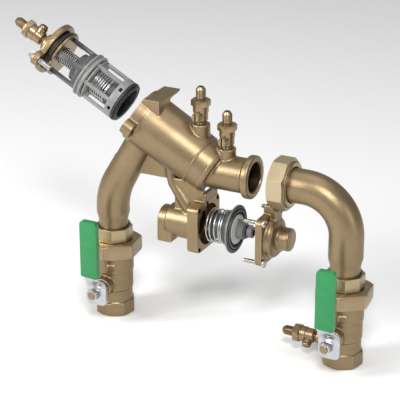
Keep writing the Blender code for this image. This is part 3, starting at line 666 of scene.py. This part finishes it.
def leg_taper(points):
    """Share of the pipe radius at each point of the outlet leg."""
    out = []
    for x, _, z in points:
        if z < 117.5:
            out.append(LEG_END_R / LEG_R)
        elif x < 11.0:
            out.append(1.0 - 0.04 * x / 11.0)
        else:
            out.append(max(0.85, 0.96 - 0.0032 * (x - 11.0)))
    return out


def lug_outline(radius, side, reach=12.0, steps=24):
    """A bolt lug: half a round about the origin, run straight towards the axis."""
    outline = [(radius * math.cos(math.pi * i / steps), side * radius * math.sin(math.pi * i / steps))
               for i in range(steps + 1)]
    return outline + [(-radius, -side * reach), (radius, -side * reach)]


def make_casting():
    """The body: slanted bore housing, inlet pipe, outlet leg, relief valve housing, bosses and webs."""
    parts = [turned(MODULE, soft([(0, 176.5), (32.0, 176.5), (32.0, 190.0), (31.4, 190.8), (31.1, 228.0),
                                  (29.7, 262.6), (28.6, 264.6), (28.2, 279.6), (27.8, 282.6), (25.8, 285.0),
                                  (0, 285.0)], 0.8),
                    WIDE)]
    for side in (-1, 1):
        at = MODULE @ place(-side * LUG_X, side * LUG_Y, 0)
        parts.append(plate(at, lug_outline(LUG_R + 0.3, side), 176.0, 190.6))
    ear = [(-20.0, 255.0), (-20.0, 275.2), (31.2, 275.2), (31.2, 272.4), (8.0, 270.4), (6.0, 255.0)]
    parts.append(plate(SHIFT @ place(58.5, 0, 0) @ SIDEWAYS, ear, -13.2, 13.2))
    pipe = [(0, PIPE_FACE), (23.6, PIPE_FACE), (COLLAR_R + 0.2, 177.6), (COLLAR_R + 0.2, 171.0),
            (23.3, 170.4), (21.0, 169.8), (PIPE_R + 0.2, 168.6), (PIPE_R + 0.2, 118.0), (0, 118.0)]
    parts.append(turned(PIPE, soft(pipe, 0.7), WIDE))
    path = leg_path(98.0)
    parts.append(wire(BODY, path, LEG_R + 0.15, 14, leg_taper(path)))
    parts.append(rod(BODY @ place(COCK_ON_BODY[0], 0, 0), 10.5, 222.0, COCK_ON_BODY[1], MID))
    parts.append(rod(BODY @ place(COCK_ON_PIPE[0], 0, 0), 10.0, 204.0, COCK_ON_PIPE[1], MID))
    parts.append(rod(RELIEF @ place(2.5, 0, 0), 18.7, 76.0, 113.0, MID, 20.3))
    parts.append(plate(RELIEF, rounded(RELIEF_HALF - 0.3, RELIEF_HALF + 0.2, 6.6), 109.2, RELIEF_FACE))
    parts.append(plate(RELIEF, rounded(20.2, 15.7, 5.2, 8, (-18.0, 8.5)), 117.4, RELIEF_FACE - 0.4))
    arch = [(3.5 - 16.0 * math.cos(a), 16.0 * math.sin(a))
            for a in [math.pi * (i / 24 - 0.5) for i in range(25)]]
    parts.append(plate(RELIEF, [(25.7, -16.0)] + arch + [(25.7, 16.0)], 65.4, 83.0))
    sensing_pipe = [(76, -0.5, 198), (78, -1.5, 186), (81, -3, 177), (88, -4.5, 168), (98, -6, 155.5),
                    (103, -6, 148)]
    parts.append(wire(BODY, sensing_pipe, 7.4, 8))
    web = [(20, 180), (98, 180), (98, 205), (60, 215), (30, 205)]
    parts.append(plate(BODY @ FRONTWARD, web, -3.7, 3.7))
    parts.append(plate(BODY @ FRONTWARD, [(84, 146), (119.6, 146), (119.6, 184), (84, 184)], 2.4, 8.6))
    body = foundry(parts, CELL, 5, name="body")

    tools = [turned(MODULE, [(0, 175.0), (27.2, 175.0), (27.2, FLANGE_S + 0.9), (26.4, FLANGE_S + 1.7),
                             (26.4, 192.0), (27.0, 192.6), (27.0, 231.8), (25.0, 233.4), (25.0, 280.4),
                             (21.5, 281.2), (0, 281.2)], WIDE),
             block(MODULE, (-60.0, -60.0, 150.0), (60.0, 60.0, FLANGE_S)),
             turned(PIPE, [(0, 190.0), (20.2, 190.0), (17.9, 177.4), (PIPE_BORE, 176.6), (PIPE_BORE, 116.0),
                           (0, 116.0)], WIDE),
             block(PIPE, (-30.0, -30.0, PIPE_FACE), (30.0, 30.0, PIPE_FACE + 6.0)),
             wire(BODY, [(0, 0, LEG_BOTTOM - 3)] + leg_path(86.0)[1:], LEG_BORE, 12),
             turned(RELIEF, [(0, 125.0), (23.8, 125.0), (23.8, 111.3), (15.0, 111.3), (15.0, 92.0),
                             (10.0, 92.0), (10.0, 69.5), (0, 69.5)], MID),
             block(RELIEF, (-38.8, -60.0, RELIEF_FACE), (60.0, 60.0, RELIEF_FACE + 9.0)),
             rod(RELIEF @ place(0, 0, 74.2) @ turn_y(90), 6.6, 0.0, 32.0, MID),
             block(RELIEF, (25.5, -20.0, 62.0), (40.0, 20.0, 90.0))]
    for side in (-1, 1):
        tools.append(rod(MODULE @ place(-side * LUG_X, side * LUG_Y, 0), BOLT_HOLE, 177.0, 196.0, FINE))
    for y in (-RELIEF_BOLT_Y, RELIEF_BOLT_Y):
        for x in (-RELIEF_BOLT_Z, RELIEF_BOLT_Z):
            tools.append(rod(RELIEF @ place(x, y, 0), 2.9, 108.0, 125.0, FINE))
    for x, y in ((-25.5, -2.6), (-36.0, 19.0)):
        tools.append(rod(RELIEF @ place(x, y, 0), 2.6, 114.0, 125.0, FINE))
    for x, top in (COCK_ON_BODY, COCK_ON_PIPE):
        tools.append(rod(BODY @ place(x, 0, top), 6.3, -7.0, 2.0, FINE))
    for tool in tools:
        paint("milled", tool)
    combine(body, cut=tools)
    lines = [round_ring(MODULE, radius, along, 0.55, 0.6, WIDE, 10)
             for radius, along in ((29.5, 263.6), (28.2, 280.6))]
    body = gather(body, *paint("cast", *lines))
    return dress(body, "main_casting", sharp=40)


def make_inlet_elbow():
    """The inlet elbow: a swept quarter with a flange inside the swivel nut."""
    bend = 48.0
    points = [(-73.5, 0, PIPE_Z), (-bend - 8, 0, PIPE_Z)]
    for step in range(25):
        angle = math.pi / 2 * step / 24
        points.append((-bend + bend * math.sin(angle), 0, PIPE_Z - bend + bend * math.cos(angle)))
    points += [(0, 0, 136.0), (0, 0, 126.0), (0, 0, 117.0), (0, 0, LEG_BOTTOM)]
    taper = [1.0] * (len(points) - 2) + [LEG_END_R / LEG_R] * 2
    end = INLET @ place(0, 0, PIPE_Z) @ turn_y(90)
    flange = turned(end, [(0, -73.5), (24.0, -73.5), (24.0, -69.8), (0, -69.8)], MID)
    elbow = foundry([wire(INLET, points, LEG_R + 0.15, 16, taper), flange], CELL, 4, name="elbow")
    bored = [(-80.0, 0, PIPE_Z)] + points[1:-1] + [(0, 0, LEG_BOTTOM - 4)]
    tools = [wire(INLET, bored, LEG_BORE, 12), block(end, (-40, -40, -90.0), (40, 40, -73.5))]
    for tool in tools:
        paint("milled", tool)
    combine(elbow, cut=tools)
    return dress(elbow, "inlet_elbow", sharp=40)


def make_swivel():
    """The eight-sided swivel nut on the elbow's flange, and its gasket."""
    end = INLET @ place(0, 0, PIPE_Z) @ turn_y(90)
    left = 203.4 - LEG_SPACING
    nut = polygon_rod(end, 54.4, 8, left, left + 18.4, 0.0, 1.8)
    step = [(0, left + 21.0), (24.6, left + 21.0), (25.5, left + 20.2), (25.5, left + 18.0), (0, left + 18.0)]
    shoulder = turned(end, soft(step, 0.5), MID)
    bore = [(0, -90.0), (24.9, -90.0), (24.9, left + 0.8)]
    bore += thread(24.7, left + 0.9, -69.9, 2.1, 0.9)
    bore += [(24.7, -69.5), (20.4, -69.5), (20.4, -60.0), (0, -60.0)]
    combine(nut, joined=[shoulder])
    # painted shade: the swivel nut takes the darker copy of the forged brass
    paint("shaded_brass", nut)
    hollow = paint("milled", turned(end, bore, WIDE))
    combine(nut, cut=[hollow])
    dress(nut, "inlet_swivel_nut", ease=0.45)
    return dress(ring(end, 23.6, 15.5, -75.4, -73.8), "inlet_gasket", "rubber")


# ---------------------------------------------------------------- unions and ball valves

def make_union(side, matrix):
    """Tail piece with eight flats, union nut and gasket on top of a ball valve."""
    tail = polygon_rod(matrix, 41.0, 8, 92.8, 108.5, 0.0)
    lower = turned(matrix, [(0, 94.0), (20.2, 94.0), (20.2, 88.0), (25.0, 87.6), (25.0, 84.4), (0, 84.4)],
                   MID)
    socket = turned(matrix, [(0, 110.0), (18.0, 110.0), (17.6, 107.6), (17.0, 107.0), (17.0, 96.6),
                             (LEG_BORE, 96.6), (LEG_BORE, 80.0), (0, 80.0)], MID)
    combine(paint("forged", tail), joined=[paint("forged", lower)], cut=[paint("milled", socket)])
    dress(tail, side + "_tailpiece", ease=0.45, sharp=12)
    nut = paint("forged", polygon_rod(matrix, 57.0, 6, 75.3, 92.5, -53.0, 2.6))
    bore = [(0, 95.0), (22.0, 95.0), (21.4, 92.0), (21.4, 88.1), (26.0, 88.1), (26.0, 70.0), (0, 70.0)]
    combine(nut, cut=[paint("milled", turned(matrix, bore, MID))])
    dress(nut, side + "_union_nut", ease=0.5)
    return dress(ring(matrix, 22.0, 16.5, 82.3, 84.1), side + "_union_gasket", "rubber")


def make_valve(side, matrix):
    """Ball valve: octagon end, body, two seats, ball, stem, packing nut, lever and grip."""
    end = polygon_rod(matrix, 43.6, 8, 0.0, 17.6, -59.3, 3.0)
    parts = [end, rod(matrix, 20.6, 16.9, 31.0, MID)]
    inside = [(0, 40.0), (18.7, 40.0), (18.7, 26.0), (16.2, 26.0), (16.2, 23.4), (11.5, 23.4), (11.5, 17.0)]
    inside += list(reversed(thread(16.6, 0.8, 16.4, 1.9, -0.9)))
    inside += [(17.8, 0.3), (18.0, -3.0), (0, -3.0)]
    tools = [turned(matrix, inside, MID)]
    if side == "inlet":
        at = matrix @ place(COCK_ON_VALVE[0] - LEG_SPACING, 0, COCK_ON_VALVE[1]) @ turn_y(-90)
        parts.append(rod(at, 7.6, -13.0, 0.0, MID))
        tools.append(rod(at, 6.3, -6.8, 2.0, FINE))
    body = foundry(parts, 0.7, 3, 0.07, "valve_end")
    tools.append(block(matrix, (-40, -40, -8.0), (40, 40, 0.0)))
    tools.append(block(matrix, (-40, -40, 31.0), (40, 40, 45.0)))
    for tool in tools:
        paint("milled", tool)
    combine(body, cut=tools)
    dress(body, side + "_valve_end", sharp=42)

    stem_at = matrix @ place(0, 0, STEM_Z) @ FRONTWARD
    outside = [(0, 82.0), (25.4, 82.0), (25.4, 76.6), (22.5, 75.6), (22.5, 54.4), (21.6, 53.2), (21.6, 31.6),
               (18.4, 31.3), (18.4, 26.4), (0, 26.4)]
    shell = turned(matrix, soft(outside, 0.7), WIDE)
    neck = [(0, 31.0), (11.0, 31.0), (11.0, 21.2), (8.4, 21.0), (8.4, 10.0), (0, 10.0)]
    boss = turned(stem_at, soft(neck, 0.5), MID)
    mark = block(matrix @ turn_z(-70.0), (20.0, -4.4, 59.4), (23.7, 4.4, 66.0))
    body = foundry([shell, boss, mark], 0.8, 3, 0.08, "valve_body")
    crest = [(0, 90.0), (30.0, 90.0), (30.0, 75.4), (25.6, 75.4)]
    crest += thread(25.6, 75.8, 82.0, 2.0, 0.8) + [(25.2, 82.0), (0, 82.0)]
    way = [(0, 85.0), (LEG_BORE + 1.0, 85.0), (LEG_BORE, 81.0), (LEG_BORE, 60.0), (PORT_R + 1.0, 56.7),
           (16.2, 56.6), (16.2, 20.0), (0, 20.0)]
    stem_hole = [(0, 35.0), (4.8, 35.0), (4.8, 19.0), (6.2, 18.7), (6.2, 10.0), (0, 10.0)]
    tools = [turned(matrix, way, MID), turned(stem_at, stem_hole, FINE),
             block(stem_at, (-20.0, -20.0, 31.0), (20.0, 20.0, 36.0))]
    for tool in tools:
        paint("milled", tool)
    combine(body, cut=tools)
    dress(body, side + "_valve_body", sharp=42)

    for name, sign in (("upper", 1), ("lower", -1)):
        profile = [(r, STEM_Z + sign * z) for r, z in ((15.0, 16.2), (15.0, 8.2), (10.4, 12.8), (10.4, 16.2))]
        dress(turned(matrix, soft(profile, 0.3, 2, True), MID), side + "_seat_" + name, "ptfe")

    globe = [(BALL_R * math.sin(math.pi * i / 36), BALL_R * math.cos(math.pi * i / 36)) for i in range(1, 36)]
    ball = turned(stem_at, [(0.0, BALL_R)] + globe + [(0.0, -BALL_R)], MID)
    port = rod(matrix, PORT_R, 15.0, 65.0, MID)
    slot = block(stem_at, (-20.0, -3.2, 11.4), (20.0, 3.2, 20.0))
    combine(ball, cut=[port, slot])
    dress(ball, side + "_ball", "chrome", ease=0.3)

    stem = turned(stem_at, [(0, 16.0), (5.8, 16.0), (5.8, 18.4), (4.4, 18.7), (4.4, 39.3), (6.6, 39.3),
                            (6.6, 46.0)] + thread(4.4, 46.2, 55.2, 1.0, 0.4)
                  + [(3.9, 55.6), (0, 55.6)], FINE)
    tang = block(stem_at, (-5.2, -2.9, 11.9), (5.2, 2.9, 16.4))
    flats = [block(stem_at, (-12, y - 5, 46.3), (12, y + 5, 49.2)) for y in (-8.2, 8.2)]
    combine(stem, joined=[tang], cut=flats)
    dress(stem, side + "_stem", "turned", ease=0.2)

    packing = polygon_rod(stem_at, 19.4, 6, 31.3, 38.9, 0.0, 1.2)
    combine(packing, cut=[rod(stem_at, 4.8, 25.0, 45.0, FINE)])
    dress(packing, side + "_packing_nut", "turned", ease=0.35)
    make_lever(side, matrix)


def bend_strip(centre, thick, steps=5):
    """The outline of a bent sheet whose middle line runs through the points of centre."""
    rounds = [centre[0]]
    for before, here, after in zip(centre, centre[1:], centre[2:]):
        a, h, b = Vector(before), Vector(here), Vector(after)
        reach = min(5.0, (a - h).length * 0.45, (b - h).length * 0.45)
        p, q = h + (a - h).normalized() * reach, h + (b - h).normalized() * reach
        for step in range(steps + 1):
            t = step / steps
            rounds.append(tuple(p * (1 - t) ** 2 + h * 2 * t * (1 - t) + q * t * t))
    rounds.append(centre[-1])
    left, right = [], []
    for i, point in enumerate(rounds):
        before = Vector(rounds[max(0, i - 1)])
        after = Vector(rounds[min(len(rounds) - 1, i + 1)])
        along = (after - before).normalized()
        across = Vector((-along.y, along.x)) * thick / 2
        left.append(tuple(Vector(point) + across))
        right.append(tuple(Vector(point) - across))
    return left + list(reversed(right))


def make_lever(side, matrix):
    """A bent plate lever, offset from the hole for its stem, its nut and its dipped grip."""
    strip = bend_strip([(47.75, -12.6), (47.75, 12.6), (59.95, 26.4), (59.95, 92.3)], 2.5)
    bent = matrix @ place(LEVER_SHIFT, 0, STEM_Z) @ SIDEWAYS
    lever = plate(bent, [(-y, z) for y, z in strip], -13.0, 13.0)
    stem_at = matrix @ place(0, 0, STEM_Z) @ FRONTWARD
    lever_at = stem_at @ place(LEVER_SHIFT, 0, 0)
    foot = [(-6.6 + 5.6 * math.cos(a), -6.9 + 5.6 * math.sin(a))
            for a in [math.pi + math.pi / 2 * i / 8 for i in range(9)]]
    foot += [(6.6 + 5.6 * math.cos(a), -6.9 + 5.6 * math.sin(a))
             for a in [math.pi * 1.5 + math.pi / 2 * i / 8 for i in range(9)]]
    outline = foot + [(12.2, 15.0), (11.4, 19.6), (9.4, 23.6), (8.2, 27.0), (8.2, 92.0), (-8.2, 92.0),
                      (-8.2, 27.0), (-9.4, 23.6), (-11.4, 19.6), (-12.2, 15.0)]
    combine(lever, shared=[plate(lever_at, outline, 40.0, 70.0)])
    combine(lever, cut=[rod(stem_at, 4.9, 40.0, 60.0, FINE)])
    dress(lever, side + "_handle", "zinc", ease=0.45)
    nut = polygon_rod(stem_at, 12.6, 6, 49.4, 54.6, 8.0, 1.0)
    combine(nut, cut=[rod(stem_at, 4.7, 45.0, 60.0, FINE)])
    dress(nut, side + "_handle_nut", "nickel", ease=0.25)

    grip_at = stem_at @ place(GRIP_SHIFT, 0, 0)
    grip_outline = [(-10.6, 28.8), (-9.6, 27.9), (-8.0, 27.5), (8.4, 26.5), (9.9, 26.7), (10.6, 27.6)]
    grip_outline += [(10.6 - 4.2 + 4.2 * math.cos(a), 91.8 + 4.2 * math.sin(a))
                     for a in [math.pi / 2 * i / 8 for i in range(9)]]
    grip_outline += [(-10.6 + 4.2 + 4.2 * math.cos(a), 91.8 + 4.2 * math.sin(a))
                     for a in [math.pi / 2 * (1 + i / 8) for i in range(9)]]
    grip = plate(grip_at, grip_outline, 56.6, 63.2)
    pocket = block(lever_at, (-8.5, 20.0, 58.4), (8.5, 92.4, 61.5))
    foot_cut = block(lever_at, (-8.5, 20.0, 52.0), (8.5, 31.0, 61.5))
    combine(grip, cut=[pocket, foot_cut])
    return dress(grip, side + "_grip", "vinyl", ease=1.1)


# ---------------------------------------------------------------- test cocks

def make_cock(name, matrix):
    """Test cock: flare end, hexagon, plug body with a slotted stem, threaded foot."""
    profile = [(0, 42.0), (3.2, 42.0), (3.5, 41.7), (5.5, 38.6)]
    profile += list(reversed(thread(5.5, 29.4, 38.4, 1.25, 0.5)))
    profile += [(5.0, 29.0), (4.8, 28.0), (4.8, 24.0), (8.7, 20.6), (8.7, 13.6), (8.0, 12.6), (8.0, 4.6),
                (6.6, 3.0)]
    profile += list(reversed(thread(6.1, -6.0, 2.8, 1.1, 0.45)))
    profile += [(5.6, -6.4), (0, -6.4)]
    body = paint("turned", turned(matrix, profile, FINE))
    hexagon = paint("turned", polygon_rod(matrix, 19.0, 6, 20.4, 27.4, 0.0, 1.2))
    boss_at = matrix @ place(0, 0, COCK_STEM_Z) @ FRONTWARD
    boss = paint("turned", turned(boss_at, soft([(0, 11.6), (5.4, 11.6), (5.4, 3.0), (0, 3.0)], 0.5), FINE))
    way_in = [(0, 46.0), (3.0, 46.0), (2.2, 41.0), (2.2, -10.0), (0, -10.0)]
    # painted shade: the bore's walls take the near-black colour
    bore = paint("dark", turned(matrix, way_in, FINE))
    seat = paint("milled", rod(boss_at, 3.9, -4.4, 14.0, FINE))
    combine(body, joined=[hexagon, boss], cut=[bore, seat])
    dress(body, name, ease=0.18)
    stem = turned(boss_at, soft([(0, -4.0), (3.55, -4.0), (3.55, 11.9), (4.8, 11.9), (4.8, 13.4), (4.2, 14.4),
                                 (0, 14.4)], 0.35), FINE)
    slot = block(boss_at, (-0.8, -6.0, 13.0), (0.8, 6.0, 16.0))
    way = rod(boss_at @ turn_y(90), 1.8, -6.0, 6.0, FINE)
    # painted shade: the slot's walls take the near-black colour
    combine(paint("turned", stem), cut=[paint("dark", slot), way])
    return dress(stem, name + "_stem", ease=0.15)


# ---------------------------------------------------------------- check module

def make_module():
    """Check module: cover with two bolts, two caged spring checks and their seals."""
    disc = [(0, 40.6), (9.6, 40.6), (10.4, 41.6), (11.0, 46.0), (14.6, 48.4), (18.2, 50.4), (30.4, 50.4),
            (31.2, 51.2), (31.2, 57.0), (30.4, 57.8), (0, 57.8)]
    parts = [turned(MODULE, soft(disc, 0.8), WIDE)]
    for side in (-1, 1):
        at = MODULE @ place(-side * LUG_X, side * LUG_Y, 0)
        parts.append(plate(at, lug_outline(LUG_R - 0.2, side), 50.5, 57.6))
        pad = soft([(0, 50.6), (7.0, 50.6), (7.4, 50.2), (7.4, 49.9), (0, 49.9)], 0.3)
        parts.append(turned(at, pad, FINE))
    cover = foundry(parts, 0.8, 4, 0.08, "cover")
    plug = paint("milled", turned(MODULE, [(0, 56.0), (23.0, 56.0), (23.0, 64.0), (25.8, 64.0), (26.6, 64.6),
                                           (26.6, 66.8), (26.0, 67.4), (0, 67.4)], WIDE))
    face = paint("milled", block(MODULE, (-60, -60, 57.7), (60, 60, 75.0)))
    combine(cover, cut=[face])
    combine(cover, joined=[plug])
    tools = [paint("milled", rod(MODULE @ place(-side * LUG_X, side * LUG_Y, 0), BOLT_HOLE, 45.0, 70.0, FINE))
             for side in (-1, 1)]
    # painted shade: the recess and the small hole take the near-black colour
    tools += [paint("dark", rod(MODULE, 10.4, 57.0, 70.0, MID)),
              paint("milled", rod(MODULE, 6.3, 35.0, 47.0, FINE)),
              paint("dark", rod(MODULE, 2.2, 40.0, 60.0, FINE)),
              paint("milled", block(MODULE, (-60, -60, 30.0), (60, 60, 40.6)))]
    combine(cover, cut=tools)
    # painted shade: the groove between the disc and the rim, under the O-ring, takes the dark brown
    recolour(cover, "thread", lambda r, s: 57.9 < s < 63.9)
    dress(cover, "module_cover", sharp=40)
    dress(round_ring(MODULE, 25.0, 61.6, 1.7, 1.9), "cover_o_ring", "rubber")
    for name, side in (("front", -1), ("back", 1)):
        at = MODULE @ place(-side * LUG_X, side * LUG_Y, 0)
        shank = [(0, 72.4), (2.6, 72.4)] + list(reversed(thread(3.2, 58.0, 72.0, 1.0, 0.4)))
        bolt = turned(at, shank + [(3.2, 57.6), (3.2, 50.0), (0, 50.0)], FINE)
        head = polygon_rod(at, 11.0, 6, 44.4, 49.4, 30.0, 0.8)
        washer = turned(at, soft([(0, 49.3), (6.3, 49.3), (6.3, 50.2), (0, 50.2)], 0.2), FINE)
        combine(bolt, joined=[head, washer])
        dress(bolt, "cover_bolt_" + name, "nickel", ease=0.3)

    cage = turned(MODULE, soft([(23.4, 67.7), (23.4, 101.9), (17.4, 101.9), (17.4, 97.0), (18.4, 96.0),
                                (18.4, 67.7)], 0.4, 2, True), WIDE)
    windows = [wedge(MODULE, -74.3 + 90.0 * turn, 36.5, 8.0, 27.0, 60.0, 95.4) for turn in range(4)]
    combine(cage, cut=windows)
    dress(cage, "check_2_cage", "nylon", ease=0.35)
    poppet = [(0, 101.4), (12.8, 101.4), (16.6, 99.8), (16.6, 88.2), (15.4, 87.4), (10.4, 87.4), (10.4, 96.2),
              (6.6, 96.2), (6.6, 69.0), (6.0, 68.4), (0, 68.4)]
    dress(turned(MODULE, soft(poppet, 0.5), WIDE), "check_2_poppet", "nylon")
    spring = dress(coil(MODULE, 8.5, 0.75, 57.4, 95.9, 17.0), "check_2_spring", "wire", sharp=60)
    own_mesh(spring)

    outer = [(26.5, 102.3), (26.5, 104.4), (24.4, 105.0), (24.4, 107.4), (26.5, 108.0), (26.5, 110.2),
             (24.2, 110.8), (24.2, 153.6), (22.0, 153.6), (22.0, 157.2), (23.6, 157.6), (23.4, 158.6),
             (22.4, 159.2), (18.6, 159.2), (16.8, 147.4), (20.0, 145.2), (20.0, 114.8), (12.4, 113.8),
             (12.4, 127.8), (9.4, 127.8), (9.4, 111.0), (19.0, 108.4), (19.0, 104.6), (11.4, 104.0),
             (11.4, 102.3)]
    cage = paint("grey", turned(MODULE, soft(outer, 0.4, 2, True), WIDE))
    tools = [paint("grey", wedge(MODULE, -190.8 - 60 * turn, 25.3, inner, 27.0, low, high))
             for turn in range(6) for inner, low, high in ((16.0, 114.2, 144.6), (21.0, 111.0, 112.7))]
    # painted shade: the square holes' walls take the near-black colour
    for turn in range(6):
        tools.append(paint("dark", block(MODULE @ turn_z(-140.7 - 60 * turn), (21.0, -2.3, 147.9),
                                         (27.0, 2.3, 151.7))))
    combine(cage, cut=tools)
    recolour(cage, "rubber", lambda r, s: s > 153.4 or (r < 19.9 and s > 145.6))
    recolour(cage, "grey", lambda r, s: s > 158.9 and r < 20.0)
    dress(cage, "check_1_cage", ease=0.3)
    poppet = [(0, 146.4), (14.0, 146.4), (16.2, 144.8), (16.2, 137.0), (15.0, 136.2), (9.6, 136.2),
              (9.6, 141.0), (8.8, 141.0), (8.8, 117.4), (8.2, 116.8), (0, 116.8)]
    dress(turned(MODULE, soft(poppet, 0.5), WIDE), "check_1_poppet", "nylon")
    spring = dress(coil(MODULE, 13.9, 0.85, 115.2, 135.9, 8.0), "check_1_spring", "wire", sharp=60)
    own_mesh(spring)
    dress(round_ring(MODULE, 23.4, 155.4, 1.15, 1.6), "module_o_ring", "rubber")


# ---------------------------------------------------------------- relief valve

def make_relief():
    """Relief valve module and its bolted cover."""
    spring = dress(coil(RELIEF, 18.6, 0.95, 125.8, 147.2, 5.0), "relief_spring", "wire", sharp=60)
    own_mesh(spring)
    cup = [(0, 154.6), (23.6, 154.6), (23.4, 152.6), (20.2, 148.2), (19.8, 147.4), (14.4, 147.4),
           (14.4, 131.4), (12.6, 129.6), (10.4, 129.6), (10.4, 150.0), (0, 150.0)]
    dress(turned(RELIEF, soft(cup, 0.5), WIDE), "relief_cup", "nylon")
    rim = paint("rubber", turned(RELIEF, soft([(26.2, 154.9), (27.4, 155.3), (27.4, 156.9), (26.8, 157.3),
                                               (26.2, 156.9), (25.2, 157.2), (24.6, 157.8), (24.0, 157.2),
                                               (23.6, 156.2), (22.6, 156.2), (22.0, 158.2), (21.2, 158.9),
                                               (20.4, 158.2), (19.8, 156.0), (18.2, 155.8), (17.2, 157.0),
                                               (10.4, 157.0), (10.4, 154.9)], 0.3, 2, True), WIDE))
    # painted highlight: the crests of the diaphragm's ridges take a lighter grey, the grooves stay black
    for low, high in ((26.5, 27.6), (24.2, 25.0), (20.7, 21.7)):
        recolour(rim, "hub", lambda r, s: low < r < high and s > 155.2)
    dress(rim, "relief_diaphragm")
    outside = [(0, 154.9), (10.0, 154.9), (10.0, 157.3), (16.6, 157.3), (16.6, 158.6), (13.0, 158.9),
               (9.9, 159.2), (9.7, 168.0), (6.4, 168.4), (6.4, 169.2), (5.4, 169.3), (5.4, 171.6),
               (6.6, 171.7), (6.6, 177.0), (5.8, 178.0), (0, 178.0)]
    hub = paint("hub", turned(RELIEF, soft(outside, 0.35), WIDE))
    fin = paint("hub", block(RELIEF, (-12.6, -0.9, 158.2), (-7.0, 0.9, 168.9)))
    fin_tip = paint("hub", block(RELIEF, (-8.4, -0.9, 172.4), (-4.0, 0.9, 176.8)))
    hole = turned(RELIEF, [(0, 180.0), (3.4, 180.0), (3.0, 176.0), (3.0, 168.0), (0, 168.0)], FINE)
    # painted shade: the hole in the hub's tip takes the near-black colour
    combine(hub, joined=[fin, fin_tip], cut=[paint("dark", hole)])
    recolour(hub, "chalk", lambda r, s: r > 9.9 and 157.2 < s < 159.3)
    dress(hub, "relief_hub", ease=0.25)
    dress(round_ring(RELIEF, 6.8, 170.45, 1.05, 0.9, MID), "relief_stem_o_ring", "rubber")

    parts = [plate(RELIEF, rounded(RELIEF_HALF - 0.3, RELIEF_HALF - 0.3, 7.6), 191.6, 199.8),
             turned(RELIEF, soft([(0, 223.7), (11.9, 223.7), (13.0, 222.6), (13.0, 210.4), (14.6, 209.4),
                                  (20.6, 208.0), (23.2, 205.2), (23.8, 199.0), (0, 199.0)], 0.8), WIDE)]
    side_view = [(191.8, 150.0), (191.8, 169.6), (193.6, 171.4), (201.4, 171.4), (203.0, 169.9),
                 (203.0, 167.6), (207.6, 165.8), (207.6, 150.0)]
    parts.append(plate(RELIEF @ FRONTWARD, [(RELIEF_Z - z, x) for x, z in side_view], -5.8, 5.8))
    cover = foundry(parts, 0.75, 4, 0.09, "relief_cover")
    tools = [turned(RELIEF, [(0, 188.0), (17.4, 188.0), (17.4, 199.0), (14.6, 201.0), (14.6, 205.4),
                             (9.2, 207.2), (9.2, 213.4), (0, 213.4)], MID),
             block(RELIEF, (-40, -40, 180.0), (40, 40, 192.0)),
             block(RELIEF, (-20, -20, 223.4), (20, 20, 230.0))]
    corners = [(sx, sy) for sx in (-1, 1) for sy in (-1, 1)]
    for sx, sy in corners:
        tools.append(rod(RELIEF @ place(sx * RELIEF_BOLT_Z, sy * RELIEF_BOLT_Y, 0), 2.8, 185.0, 203.0, FINE))
        tools.append(rod(RELIEF @ place(sx * RELIEF_BOLT_Z, sy * RELIEF_BOLT_Y, 0), 5.2, 199.7, 209.0, FINE))
    for tool in tools:
        paint("milled", tool)
    combine(cover, cut=tools)
    dress(cover, "relief_cover", sharp=40)
    for sx, sy in corners:
        at = RELIEF @ place(sx * RELIEF_BOLT_Z, sy * RELIEF_BOLT_Y, 0)
        shank = [(0, 177.0), (2.0, 177.0)] + thread(2.4, 177.4, 191.0, 0.9, 0.35)
        bolt = turned(at, shank + [(2.4, 191.4), (2.4, 200.4), (0, 200.4)], FINE)
        head = turned(at, soft([(0, 200.0), (4.6, 200.0), (4.6, 201.4), (3.6, 202.7), (0, 203.0)], 0.4), FINE)
        combine(bolt, joined=[head])
        # painted shade: the screw slot's walls take the near-black colour
        slot = paint("dark", block(at @ turn_z(35.0 + 40.0 * sx + 25.0 * sy), (-0.55, -6.0, 201.8),
                                   (0.55, 6.0, 205.0)))
        combine(paint("nickel", bolt), cut=[slot])
        label = "relief_bolt_" + ("upper_" if sx < 0 else "lower_") + ("front" if sy < 0 else "back")
        dress(bolt, label, ease=0.12)


CELL = 0.9
make_casting()
for side, matrix in (("outlet", OUTLET), ("inlet", INLET)):
    make_union(side, matrix)
    make_valve(side, matrix)
make_inlet_elbow()
make_swivel()
make_module()
make_relief()
for name, matrix in (("test_cock_1", INLET @ place(COCK_ON_VALVE[0] - LEG_SPACING, 0, COCK_ON_VALVE[1])
                      @ turn_y(-90) @ turn_z(-35)),
                     ("test_cock_2", BODY @ place(COCK_ON_PIPE[0], 0, COCK_ON_PIPE[1])),
                     ("test_cock_3", BODY @ place(COCK_ON_BODY[0], 0, COCK_ON_BODY[1])),
                     ("test_cock_4", MODULE @ place(0, 0, COCK_ON_COVER) @ turn_y(180) @ turn_z(102))):
    make_cock(name, matrix)
